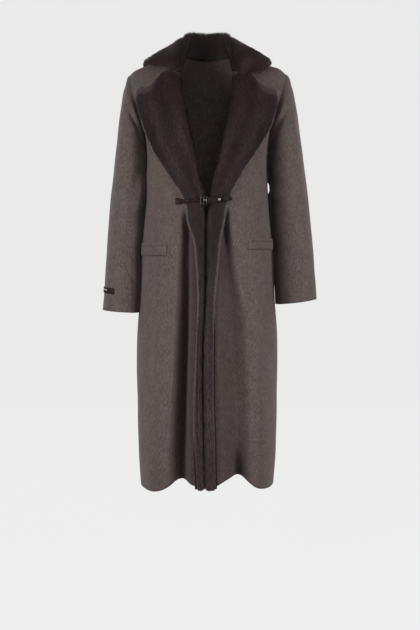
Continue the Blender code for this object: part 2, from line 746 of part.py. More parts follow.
def make_collar(collection):
    half = np.array([collar_row(place) for place in COLLAR_PLACES])
    centre = collar_row(0.0)[None]
    whole = np.concatenate([mirrored(half, -1)[::-1], centre, half])
    share = np.ones(whole.shape[:2])
    share[:, 0] = HIDDEN_SHARE
    share[:, -1] = OUTER_SHARE
    share[:, -2] = BESIDE_SHARE
    share[[0, -1]] *= END_SHARE
    sheet(collection, "fur_collar", "fur", whole, COLLAR_WALL, outward=True, thin=share)


def make_welt(collection, welt):
    side = int(welt["side"])
    rows = []
    for height in np.linspace(welt["low"], welt["high"], 4):
        row = []
        for share in np.linspace(0, 1, 8):
            x = welt["outer_x"] + (welt["inner_x"] - welt["outer_x"]) * share**1.7
            point, normal = front_at(side, x, height)
            row.append(point + normal * 2 * LAY_GAP)
        rows.append(row)
    share = np.ones((4, 8))
    share[[0, -1]] = END_SHARE
    share[:, [0, -1]] *= END_SHARE
    name = f"{side_name(side)}_pocket_welt"
    points = mirrored(np.array(rows), side)
    sheet(
        collection, name, "wool", points, WELT_WALL, outward=True, flip=side < 0, thin=share
    )


def make_strap_piece(collection, name, stations, wall=LEATHER_WALL):
    """A flat leather piece across the front, following its surface at each station's lift."""
    rows = []
    for station in stations:
        side = -1 if station["x"] < 0 else 1
        row = []
        for height in np.linspace(station["low"], station["high"], 3):
            near, _ = front_at(side, max(abs(station["x"]), CLOSURE_NEAR), height)
            row.append((station["x"], near[1] - station["lift"], height))
        rows.append(row)
    sheet(collection, name, "leather", np.array(rows), wall, outward=True)


def rounded_outline(curve, centre, size, corner):
    """A closed flat outline with round corners."""
    points = []
    for quarter in range(4):
        sign_x = 1 if quarter in (0, 3) else -1
        sign_y = 1 if quarter in (0, 1) else -1
        middle_x = centre[0] + sign_x * (size[0] / 2 - corner)
        middle_y = centre[1] + sign_y * (size[1] / 2 - corner)
        for step in range(5):
            angle = math.pi / 2 * (quarter + step / 4)
            points.append(
                (middle_x + corner * math.cos(angle), middle_y + corner * math.sin(angle))
            )
    spline = curve.splines.new("POLY")
    spline.points.add(len(points) - 1)
    for point, (x, y) in zip(spline.points, points):
        point.co = (x, y, 0, 1)
    spline.use_cyclic_u = True


def make_buckle(collection):
    """A flat frame with round corners and a centre bar, facing forward."""
    width, tall = BUCKLE_SIZE
    curve = bpy.data.curves.new("buckle", "CURVE")
    curve.dimensions = "2D"
    curve.fill_mode = "BOTH"
    curve.extrude = BUCKLE_WALL / 2
    rounded_outline(curve, (0, 0), BUCKLE_SIZE, BUCKLE_CORNER)
    window = ((width - 3 * BUCKLE_BAND) / 2, tall - 2 * BUCKLE_BAND)
    for sign in (-1, 1):
        middle = sign * (window[0] + BUCKLE_BAND) / 2
        rounded_outline(curve, (middle, 0), window, 0.0018)
    guide = bpy.data.objects.new("buckle outline", curve)
    collection.objects.link(guide)
    solid = bpy.data.meshes.new_from_object(guide.evaluated_get(bpy.context.evaluated_depsgraph_get()))
    bpy.data.objects.remove(guide)
    weld(solid)
    near, _ = front_at(-1, CLOSURE_NEAR, BUCKLE_CENTRE[1])
    obj = link(bpy.data.objects.new("buckle", solid), collection, "metal")
    obj.rotation_euler = (math.radians(90), 0, 0)
    obj.location = (BUCKLE_CENTRE[0], near[1] - BUCKLE_LIFT, BUCKLE_CENTRE[1])
    return obj


def weld(mesh):
    """Joins a mesh's caps to its sides."""
    shape = bmesh.new()
    shape.from_mesh(mesh)
    bmesh.ops.remove_doubles(shape, verts=shape.verts, dist=0.00001)
    bmesh.ops.recalc_face_normals(shape, faces=shape.faces)
    shape.to_mesh(mesh)
    shape.free()


def make_stud(collection):
    near, _ = front_at(1, STUD_PLACE[0], STUD_PLACE[1])
    place = (STUD_PLACE[0], near[1] - STUD_LIFT, STUD_PLACE[1])
    bpy.ops.mesh.primitive_uv_sphere_add(
        segments=14, ring_count=8, radius=STUD_RADIUS, location=place
    )
    obj = bpy.context.object
    obj.name = "strap_stud"
    obj.scale = (1, 0.5, 1)
    bpy.ops.object.transform_apply(location=False, rotation=False, scale=True)
    obj.data.shade_smooth()
    for held in list(obj.users_collection):
        held.objects.unlink(obj)
    return link(obj, collection, "metal")


def make_cuff_piece(collection, name, finish, turns, places, distance, wall):
    """A flat piece that lies on the right sleeve's front, near the cuff."""
    angles = 2 * math.pi * np.linspace(*turns, 7)
    points = sleeve_surface(-1, np.linspace(*places, 3), angles)
    across = np.gradient(points, axis=1)
    down = np.gradient(points, axis=0)
    normal = unit(np.cross(down, across))
    points = mirrored(points + normal * distance, -1)
    sheet(collection, name, finish, points, wall, outward=True, flip=True)


def main():
    clear_scene()
    coat = bpy.data.collections.new("wool coat")
    bpy.context.scene.collection.children.link(coat)
    make_back(coat)
    for side in (-1, 1):
        roll = make_front(coat, side)
        make_facing_fur(coat, side, roll)
        make_sleeve(coat, side)
    make_collar(coat)
    for welt in WELTS:
        make_welt(coat, welt)
    make_strap_piece(coat, "strap_patch", PATCH)
    make_strap_piece(coat, "strap_tail", TAIL, wall=0.002)
    make_strap_piece(coat, "buckle_strap", BUCKLE_STRAP)
    make_strap_piece(coat, "strap_point", STRAP_POINT)
    make_buckle(coat)
    make_stud(coat)
    make_cuff_piece(coat, "cuff_tab", "leather", TAB_TURN, TAB_PLACES, SEAM_GAP * 2, 0.0022)
    make_cuff_piece(coat, "cuff_tab_bar", "metal", BAR_TURN, BAR_PLACES, 0.0032, 0.0012)


main()
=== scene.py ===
import math

import bpy
import numpy as np
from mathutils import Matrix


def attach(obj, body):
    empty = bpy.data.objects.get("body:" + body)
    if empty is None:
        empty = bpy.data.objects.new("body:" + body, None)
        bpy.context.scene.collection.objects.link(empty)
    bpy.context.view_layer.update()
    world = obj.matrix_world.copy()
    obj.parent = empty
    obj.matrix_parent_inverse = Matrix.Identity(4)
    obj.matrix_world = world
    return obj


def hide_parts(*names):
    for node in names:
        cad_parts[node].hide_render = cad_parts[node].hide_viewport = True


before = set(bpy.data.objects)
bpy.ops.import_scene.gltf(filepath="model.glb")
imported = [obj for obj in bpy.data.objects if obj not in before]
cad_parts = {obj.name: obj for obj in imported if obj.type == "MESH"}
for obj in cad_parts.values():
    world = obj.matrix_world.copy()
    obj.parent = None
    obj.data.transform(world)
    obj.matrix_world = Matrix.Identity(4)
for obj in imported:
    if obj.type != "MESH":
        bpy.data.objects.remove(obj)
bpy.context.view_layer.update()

scene = bpy.context.scene
print("frame loaded")

# Metres, +Z up, the front faces -Y and the right side, as the coat is worn, is -X.
# Widths are worked out outward from the centre and turned over for the right side.

coat = {
    "hem": -1.105, "underarm": -0.212, "closure": -0.3475,
    "gorgeLevel": 1.85, "topLevel": 2.0,
    "woolWall": 0.0026, "furWall": 0.0080, "collarWall": 0.0090, "layGap": 0.0008,
    "rollRadius": 0.002, "edgeLift": 0.0015,
    "seamDent": 0.0016, "seamWidth": 0.0045,
    "armholeDent": 0.0030, "armholeFold": 0.0120, "armholeWidth": 0.013, "armholeMiddle": (0.0, 0.01, -0.11),
    "upperSpacing": 0.21,  # of the levels above the underarm, against those below it
    "hemWaves": (-0.93, 0.17),  # where they start, and how far they take to reach their full lift
    "ripple": {  # height, size, how much it is drawn out lengthwise, seed
        "front": (0.0006, 0.05, 0.4, 11), "back": (0.0007, 0.055, 0.4, 23),
        "sleeve": (0.0007, 0.045, 0.5, 31),
    },
}
coat["rollReach"] = coat["rollRadius"] + coat["woolWall"] + coat["layGap"] + coat["furWall"]


def table(names, *rows):
    return np.array(list(rows), dtype=[(name, float) for name in names.split()])


def blendRows(keys, values, at):  # a smooth curve through all the rows
    at = np.asarray(at, float)
    slopes = np.gradient(values, keys, axis=0)
    before = np.clip(np.searchsorted(keys, at, side="right") - 1, 0, len(keys) - 2)
    span = keys[before + 1] - keys[before]
    part = np.clip((at - keys[before]) / span, 0, 1)
    shape = part.shape + (1,) * (values.ndim - 1)
    part, span = part.reshape(shape), span.reshape(shape)
    start = (2 * part**3 - 3 * part**2 + 1) * values[before]
    leave = (part**3 - 2 * part**2 + part) * span * slopes[before]
    end = (3 * part**2 - 2 * part**3) * values[before + 1]
    arrive = (part**3 - part**2) * span * slopes[before + 1]
    return start + leave + end + arrive


def read(rows, column, at):
    return blendRows(rows[rows.dtype.names[0]], rows[column], at)


def bend(start, first, second, end, along):
    corners = np.array([start, first, second, end], float)
    along = np.asarray(along, float)[:, None]
    weights = np.hstack([(1 - along)**3, 3 * (1 - along)**2 * along, 3 * (1 - along) * along**2, along**3])
    return weights @ corners


def ease(value):
    value = np.clip(value, 0, 1)
    return value * value * (3 - 2 * value)


def bell(off, width):  # 1 in the middle, fading to both sides
    return np.exp(-((off / width)**2))


def unit(vector):
    return vector / np.maximum(np.linalg.norm(vector, axis=-1, keepdims=True), 1e-12)


def spread(places, count):  # more places, spaced as these are
    return np.interp(np.linspace(0, len(places) - 1, count), np.arange(len(places)), places)


def sideName(side):
    return "right" if side < 0 else "left"


def turned(points, side):
    return points * np.array([side, 1, 1])


def waves(points, size, seed, lengthwise=1):  # soft random field, about -1 to 1, drawn out up and down
    dice, count, total = np.random.default_rng(seed), 9, 0
    points = points * np.array([1, 1, lengthwise])
    for _ in range(count):
        heading = unit(dice.normal(size=3)) * 2 * math.pi / (size * dice.uniform(0.7, 1.5))
        total = total + np.sin(points @ heading + dice.uniform(0, 6.3))
    return total / math.sqrt(count / 2) / 1.6


def normalsOf(grid, tube=False):
    if tube:
        wide = np.concatenate([grid[:, -1:], grid, grid[:, :1]], axis=1)
        across = np.gradient(wide, axis=1)[:, 1:-1]
    else:
        across = np.gradient(grid, axis=1)
    return unit(np.cross(np.gradient(grid, axis=0), across))


def reachFrom(grid, axis, end=False):  # distance along the cloth from a border
    steps = np.linalg.norm(np.diff(grid, axis=axis), axis=-1)
    if end:
        steps = np.flip(steps, axis)
    far = np.insert(np.cumsum(steps, axis=axis), 0, 0, axis=axis)
    return np.flip(far, axis) if end else far


def fromBorders(grid, axis):  # distance from the nearer of two borders
    return np.minimum(reachFrom(grid, axis), reachFrom(grid, axis, True))


# Rows of creases: a line from one point to another, its bow, depth and width.
# Each is a soft trough with a lower ridge beside it, and runs out at both ends.
def creaseHeight(across, along, rows):
    total = np.zeros_like(across)
    for x0, z0, x1, z1, bow, depth, width in rows:
        line = np.array([x1 - x0, z1 - z0])
        length = np.hypot(*line)
        line = line / length
        run = ((across - x0) * line[0] + (along - z0) * line[1]) / length
        off = -(across - x0) * line[1] + (along - z0) * line[0]
        off = off - bow * 4 * np.clip(run, 0, 1) * (1 - np.clip(run, 0, 1))
        taper = ease(run / 0.35) * ease((1 - run) / 0.35)
        wide = width * (0.7 + 0.5 * np.clip(run, 0, 1))
        total = total - depth * taper * (bell(off, wide) - 0.45 * bell(off - 1.9 * wide, 1.2 * wide))
    return total


def newObject(name, points, faces, material):
    mesh = bpy.data.meshes.new(name)
    mesh.from_pydata(np.asarray(points, float).tolist(), [], [list(map(int, face)) for face in faces])
    mesh.shade_smooth()
    mesh.materials.append(material)
    obj = bpy.data.objects.new(name, mesh)
    scene.collection.objects.link(obj)
    return obj


def feed(tree, node, inputs):  # links a socket, and sets any other value
    for name, value in inputs.items():
        socket = node.inputs[name]
        if isinstance(value, bpy.types.NodeSocket):
            tree.links.new(value, socket)
        else:
            socket.default_value = (*value, 1) if socket.type == "RGBA" else value


def newNode(tree, kind, inputs=None, **settings):  # nodes stand in columns, from left to right
    node = tree.nodes.new(kind)
    count = len(tree.nodes)
    node.location = (-1700 + 190 * (count // 4), 400 - 220 * (count % 4))
    for name, value in settings.items():
        setattr(node, name, value)
    feed(tree, node, inputs or {})
    return node


def newMaterial(name, surface):
    material = bpy.data.materials.new(name)
    material.use_nodes = True
    tree = material.node_tree
    shader = tree.nodes["Principled BSDF"]
    feed(tree, shader, surface)
    return material, tree, shader


view = {
    "from": (0.0075, -2.36, -0.4725), "tilt": 4.25, "lens": 50.0, "sensor": 36.0,
    "floor": -1.43, "wallAt": 3.2, "curve": 1.3, "halfWidth": 6.0, "reach": 5.0,
    "paper": {"Base Color": (0.07, 0.07, 0.07), "Emission Color": (0.80, 0.80, 0.80), "Roughness": 0.9,
              "Specular IOR Level": 0.1},
    "world": (0.83, 0.83, 0.83),
    "paperGlow": (0.20, 1.0), "worldGlow": (0.22, 1.0),  # as a light, and to look at
    "lampsAt": (0, 0, -0.5),
}
lamps = {  # place, size, watts
    "keyLamp": ((-1.50, -1.50, -0.30), 0.9, 24),
    "fillLamp": ((1.70, -1.25, -0.33), 0.9, 21),
    "frontLamp": ((0.3, -3.4, 0.4), 1.2, 10),
    "rightBackLamp": ((-2.2, 2.0, 0.9), 1.6, 26),
    "leftBackLamp": ((2.2, 2.0, 0.9), 1.6, 26),
}


def paleToSee(tree, node, name, glow):
    seen = newNode(tree, "ShaderNodeLightPath")
    strength = newNode(tree, "ShaderNodeMapRange",
                       {"Value": seen.outputs["Is Camera Ray"], "To Min": glow[0], "To Max": glow[1]})
    feed(tree, node, {name: strength.outputs[0]})


def makeView():
    lens = bpy.data.cameras.new("camera")
    lens.sensor_fit = "VERTICAL"
    lens.sensor_height = lens.sensor_width = view["sensor"]
    lens.lens = view["lens"]
    camera = bpy.data.objects.new("camera", lens)
    camera.location = view["from"]
    camera.rotation_euler = (math.radians(90 - view["tilt"]), 0, 0)
    scene.collection.objects.link(camera)
    scene.camera = camera
    scene.view_settings.view_transform = "Standard"

    for name, (place, size, watts) in lamps.items():
        light = bpy.data.lights.new(name, "AREA")
        light.shape, light.size, light.energy = "SQUARE", size, watts
        lamp = bpy.data.objects.new(name, light)
        lamp.location = place
        right, ahead, up = np.array(view["lampsAt"]) - np.array(lamp.location)
        tilt, swing = math.atan2(up, math.hypot(right, ahead)), math.atan2(-right, ahead)
        lamp.rotation_euler = (math.pi / 2 + tilt, 0, swing)
        scene.collection.objects.link(lamp)
    scene.world = bpy.data.worlds.new("soft studio")
    scene.world.use_nodes = True
    tree = scene.world.node_tree
    sky = tree.nodes["Background"]
    feed(tree, sky, {"Color": view["world"]})
    paleToSee(tree, sky, "Strength", view["worldGlow"])

    # floor that curves up into a backdrop
    far, radius = view["wallAt"], view["curve"]
    curve = [(far + radius * math.sin(turn), radius * (1 - math.cos(turn)))
             for turn in np.linspace(0, math.pi / 2, 17)]
    profile = [(-view["reach"], 0), *curve, (far + radius, view["reach"])]
    points = [(x, y, view["floor"] + z) for y, z in profile for x in (-view["halfWidth"], view["halfWidth"])]
    faces = [(i, i + 1, i + 3, i + 2) for i in range(0, len(points) - 2, 2)]
    paper, tree, shader = newMaterial("pale paper", view["paper"])
    paleToSee(tree, shader, "Emission Strength", view["paperGlow"])
    newObject("studioSweep", points, faces, paper)


makeView()
print("camera, light and stage ready")


finishes = {
    "wool": {
        "fibre": {"Dark": (0.080, 0.060, 0.056), "Mid": (0.122, 0.095, 0.090), "Light": (0.180, 0.148, 0.140),
                  "Warm": (1.03, 0.98, 1.01), "Cool": (0.98, 1.01, 0.96)},
        # rim is the colour of a painted highlight; turned and deep are the colours of painted shade and deep
        # painted shade
        "rim": (1.12, 1.08, 1.08), "turned": (0.50, 0.42, 0.46), "deep": (0.18, 0.115, 0.115), "nap": 0.00035,
        "surface": {"Roughness": 0.92, "Specular IOR Level": 0.2, "Sheen Weight": 0.28,
                    "Sheen Roughness": 0.45, "Sheen Tint": (0.93, 0.84, 0.80)},
    },
    "fur": {
        "hair": {"Root": (0.012, 0.007, 0.008), "Tip": (0.082, 0.049, 0.053), "Faded": (0.150, 0.112, 0.106)},
        "nap": 0.0004,
        "surface": {"Roughness": 0.62, "Specular IOR Level": 0.25, "Sheen Weight": 0.12,
                    "Sheen Roughness": 0.5, "Sheen Tint": (0.90, 0.76, 0.72)},
    },
    "leather": {"dark": (0.014, 0.006, 0.006), "light": (0.033, 0.019, 0.018), "roughness": 0.55,
                "cells": 900, "grain": 0.00025, "surface": {"Specular IOR Level": 0.16}},
    "darkMetal": {"tint": (0.042, 0.038, 0.038), "roughness": 0.32},
    "paleMetal": {"tint": (0.50, 0.49, 0.47), "roughness": 0.24},
    "thread": {
        "fibre": {"Dark": (0.012, 0.009, 0.008), "Mid": (0.030, 0.022, 0.019),
                  "Light": (0.055, 0.042, 0.038)},
        "nap": 0.0001, "surface": {"Roughness": 0.6, "Sheen Weight": 0.0},
    },
}
for part in ("fibre", "surface"):  # thread is made as wool is, apart from what is given for it
    finishes["thread"][part] = {**finishes["wool"][part], **finishes["thread"][part]}
finishes["thread"] = {**finishes["wool"], **finishes["thread"]}
noises = {  # scale, detail and roughness
    "fine": (1150, 3.0, 0.6), "speck": (330, 3.0, 0.65), "cloud": (46, 3.0, 0.55), "wander": (9.0, 2.0, 0.5),
    "mottle": (120, 3.0, 0.6), "scuff": (160, 4.0, 0.6), "brushing": (500, 3.0, 0.6), "wear": (240, 3.0, 0.6),
}


def newGroup(name, colors):
    group = bpy.data.node_groups.new(name, "ShaderNodeTree")
    for label in colors:
        group.interface.new_socket(name=label, in_out="INPUT", socket_type="NodeSocketColor")
    for label, kind in (("Color", "NodeSocketColor"), ("Height", "NodeSocketFloat")):
        group.interface.new_socket(name=label, in_out="OUTPUT", socket_type=kind)
    return group, newNode(group, "NodeGroupInput").outputs, newNode(group, "NodeGroupOutput")


def mathNode(tree, operation, first, second, clamp=False):
    return newNode(tree, "ShaderNodeMath", {0: first, 1: second}, operation=operation,
                   use_clamp=clamp).outputs[0]


def mixColor(tree, factor, first, second, blend="MIX"):
    return newNode(tree, "ShaderNodeMix", {0: factor, 6: first, 7: second}, data_type="RGBA",
                   blend_type=blend).outputs[2]


def remap(tree, value, low, high, start=0.0, end=1.0):
    return newNode(tree, "ShaderNodeMapRange", {0: value, 1: low, 2: high, 3: start, 4: end}).outputs[0]


def attribute(tree, name):
    return newNode(tree, "ShaderNodeAttribute", attribute_name=name).outputs


def placeOn(tree, scale=None):
    place = newNode(tree, "ShaderNodeTexCoord").outputs["Object"]
    if scale:
        place = newNode(tree, "ShaderNodeMapping", {"Vector": place, "Scale": scale}).outputs[0]
    return place


def noise(tree, kind, place):
    scale, detail, rough = noises[kind]
    return newNode(tree, "ShaderNodeTexNoise",
                   {"Vector": place, "Scale": scale, "Detail": detail, "Roughness": rough}).outputs[0]


def blended(tree, first, share, second, otherShare):
    first = mathNode(tree, "MULTIPLY", first, share)
    return mathNode(tree, "ADD", first, mathNode(tree, "MULTIPLY", second, otherShare))


def shaded(tree, color, shade):
    gray = newNode(tree, "ShaderNodeCombineColor", {0: shade, 1: shade, 2: shade}).outputs[0]
    return mixColor(tree, 1.0, color, gray, "MULTIPLY")


def bumped(tree, height, distance, strength):
    return newNode(tree, "ShaderNodeBump",
                   {"Height": height, "Distance": distance, "Strength": strength}).outputs[0]


# Heathered wool: specks of dark and light fibre, a slow wander of hue, and a short brushed nap
def makeHeatherGroup():
    group, given, result = newGroup("woolHeather", ("Dark", "Mid", "Light", "Warm", "Cool"))
    place, grain = placeOn(group), placeOn(group, (1.0, 1.0, 0.42))
    height = blended(group, noise(group, "fine", grain), 0.45, noise(group, "speck", grain), 0.55)
    color = mixColor(group, remap(group, height, 0.50, 0.37), given["Mid"], given["Dark"])
    color = mixColor(group, remap(group, height, 0.50, 0.65), color, given["Light"])
    wander = remap(group, noise(group, "wander", place), 0.38, 0.62)
    color = mixColor(group, 1.0, color, mixColor(group, wander, given["Cool"], given["Warm"]), "MULTIPLY")
    color = shaded(group, color, remap(group, noise(group, "cloud", place), 0.3, 0.7, 0.90, 1.09))
    feed(group, result, {"Color": color, "Height": height})
    return group


# Pile tone along the hairs, with darker and lighter pelts running lengthwise
def makePileGroup():
    group, given, result = newGroup("peltTone", ("Root", "Tip", "Faded"))
    parts = newNode(group, "ShaderNodeSeparateColor", {0: attribute(group, "pile")["Color"]})
    along, random, tone = parts.outputs[:3]
    mottle = noise(group, "mottle", placeOn(group))
    reach = remap(group, along, 0.0, 1.0, 0.10, 0.72)
    reach = mathNode(group, "ADD", reach, remap(group, random, 0.0, 1.0, -0.11, 0.11))
    reach = mathNode(group, "ADD", reach, remap(group, mottle, 0.3, 0.7, -0.10, 0.10), True)
    color = mixColor(group, reach, given["Root"], given["Tip"])
    fade = mathNode(group, "MULTIPLY", remap(group, tone, 0.5, 1.0), reach)
    color = mixColor(group, fade, color, given["Faded"])
    color = shaded(group, color, remap(group, tone, 0.0, 0.5, 0.45, 1.0))
    feed(group, result, {"Color": color, "Height": mottle})
    return group


heatherGroup = makeHeatherGroup()
pileGroup = makePileGroup()


# Above 0 the rim value paints a highlight on an edge. Below 0 it paints shade, below -1 deep shade.
def makeWool(name, look):
    material, tree, shader = newMaterial(name, look["surface"])
    heather = newNode(tree, "ShaderNodeGroup", look["fibre"], node_tree=heatherGroup).outputs
    rim = attribute(tree, "rim")["Fac"]
    below = mathNode(tree, "MULTIPLY", rim, -1.0)
    color = mixColor(tree, mathNode(tree, "MULTIPLY", rim, 1.0, True), (1, 1, 1), look["rim"])
    color = mixColor(tree, mathNode(tree, "MULTIPLY", rim, -1.0, True), color, look["turned"])
    color = mixColor(tree, mathNode(tree, "SUBTRACT", below, 1.0, True), color, look["deep"])
    feed(tree, shader, {
        "Base Color": mixColor(tree, 1.0, heather["Color"], color, "MULTIPLY"),
        "Normal": bumped(tree, heather["Height"], look["nap"], 0.7),
    })
    return material


def makeFur(name, look):
    material, tree, shader = newMaterial(name, look["surface"])
    tone = newNode(tree, "ShaderNodeGroup", look["hair"], node_tree=pileGroup).outputs
    normal = bumped(tree, tone["Height"], look["nap"], 0.4)
    feed(tree, shader, {"Base Color": tone["Color"], "Normal": normal})
    return material


def makeLeather(name, look):
    material, tree, shader = newMaterial(name, look["surface"])
    place = placeOn(tree)
    cells = newNode(tree, "ShaderNodeTexVoronoi", {"Vector": place, "Scale": look["cells"]}).outputs
    scuff = noise(tree, "scuff", place)
    feed(tree, shader, {
        "Base Color": mixColor(tree, remap(tree, scuff, 0.35, 0.75), look["dark"], look["light"]),
        "Roughness": remap(tree, scuff, 0.3, 0.7, look["roughness"] - 0.08, look["roughness"] + 0.14),
        "Normal": bumped(tree, blended(tree, cells["Distance"], 0.6, scuff, 0.5), look["grain"], 0.8),
    })
    return material


def makeMetal(name, look):
    material, tree, shader = newMaterial(name, {"Metallic": 1.0})
    lines = noise(tree, "brushing", placeOn(tree, (1, 1, 8)))
    wear = remap(tree, noise(tree, "wear", placeOn(tree)), 0.4, 0.7)
    worn = tuple(min(1.0, 1.5 * part) for part in look["tint"])
    feed(tree, shader, {
        "Base Color": mixColor(tree, wear, look["tint"], worn),
        "Roughness": remap(tree, lines, 0.3, 0.7, look["roughness"] - 0.08, look["roughness"] + 0.12),
        "Normal": bumped(tree, lines, 0.00006, 0.5),
    })
    return material


woolFinish = makeWool("brushed heather wool", finishes["wool"])
furFinish = makeFur("dark pile", finishes["fur"])
leatherFinish = makeLeather("dark leather", finishes["leather"])
darkMetal = makeMetal("dark metal", finishes["darkMetal"])
paleMetal = makeMetal("pale metal", finishes["paleMetal"])
threadFinish = makeWool("waxed thread", finishes["thread"])
print("finishes ready")


def gridFaces(rows, columns, tube=False, present=None):
    i, j = np.meshgrid(np.arange(rows - 1), np.arange(columns if tube else columns - 1), indexing="ij")
    after, here, below = (j + 1) % columns, i * columns, (i + 1) * columns
    faces = np.stack([here + j, below + j, below + after, here + after], -1).reshape(-1, 4)
    if present is not None:
        number = np.cumsum(present.ravel()) - 1
        faces = number[faces[present.ravel()[faces].all(axis=1)]]
    return faces


def giveValues(obj, name, values):
    attribute = obj.data.attributes.new(name, "FLOAT", "POINT")
    attribute.data.foreach_set("value", np.asarray(values, np.float32).ravel())


def mount(obj, slotName, *nodes):
    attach(obj, "root")
    if nodes:
        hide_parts(*nodes)


# A thin wool wall on a grid of points, its face outward
def woolSheet(name, node, grid, rim, flip, tube=False):
    present = ~np.isnan(grid[..., 0])
    faces = gridFaces(*grid.shape[:2], tube, present)
    obj = newObject(name, grid[present], faces[:, ::-1] if flip else faces, woolFinish)
    giveValues(obj, "rim", rim[present])
    solidify = obj.modifiers.new("wall", "SOLIDIFY")
    solidify.thickness = coat["woolWall"]
    solidify.offset = -1
    mount(obj, "wool", node)


# A closed form between two grids, such as a pelt or a strap
def closedForm(name, under, over, material, flip=False):
    rows, columns = under.shape[:2]
    count = rows * columns
    top = gridFaces(rows, columns)
    loop = np.concatenate([
        np.arange(columns), np.arange(1, rows) * columns + columns - 1,
        (rows - 1) * columns + np.arange(columns - 2, -1, -1), np.arange(rows - 2, 0, -1) * columns,
    ])
    after = np.roll(loop, -1)
    rim = np.stack([loop, loop + count, after + count, after], -1)
    points = np.vstack([under.reshape(-1, 3), over.reshape(-1, 3)])
    faces = np.vstack([top[:, ::-1], top + count, rim])
    return newObject(name, points, faces[:, ::-1] if flip else faces, material)


def roundOff(grid, radius, least):  # thins towards all four borders
    part = np.clip(np.minimum(fromBorders(grid, 0), fromBorders(grid, 1)) / radius, 0, 1)
    return least + (1 - least) * np.sqrt(1 - (1 - part)**2)


body = {
    "sections": table(
        "height halfWidth frontDepth backDepth edgeDrop",
        (-1.105, 0.1810, 0.146, 0.138, -0.020),
        (-1.000, 0.1870, 0.147, 0.136, -0.010),
        (-0.850, 0.1890, 0.146, 0.131, 0.000),
        (-0.700, 0.1880, 0.145, 0.127, 0.000),
        (-0.600, 0.1815, 0.144, 0.123, 0.000),
        (-0.500, 0.1775, 0.142, 0.118, 0.000),
        (-0.420, 0.1710, 0.140, 0.109, 0.000),
        (-0.3475, 0.1635, 0.137, 0.102, 0.000),
        (-0.270, 0.1610, 0.132, 0.104, 0.006),
        (-0.212, 0.1600, 0.124, 0.108, 0.013),
    ),
    "armhole": table(
        "level height frontX frontY backX backY",
        (1.00, -0.212, 0.1600, 0.000, 0.1600, 0.000),
        (1.30, -0.155, 0.1680, -0.036, 0.1720, 0.052),
        (1.60, -0.095, 0.1840, -0.040, 0.1880, 0.060),
        (1.85, -0.038, 0.2030, -0.024, 0.2050, 0.036),
        (1.94, -0.019, 0.2080, -0.009, 0.2085, 0.018),
        (1.97, -0.014, 0.2090, -0.003, 0.2091, 0.011),
        (2.00, -0.011, 0.2095, 0.004, 0.2095, 0.004),
    ),
    "places": (0, 0.016, 0.12, 0.24, 0.36, 0.47, 0.56, 0.64, 0.71, 0.77, 0.82, 0.87, 0.915, 0.955, 1),
    "neckPoint": (0.0740, 0.010, 0.0455), "backNeck": (0.0, 0.0645, 0.0430), "shoulderCrown": 0.0035,
    "foldRise": 0.17, "foldNarrowing": 0.5,
    "columns": 97, "lowerRows": 131, "upperRows": 36, "neckRows": 15,
}
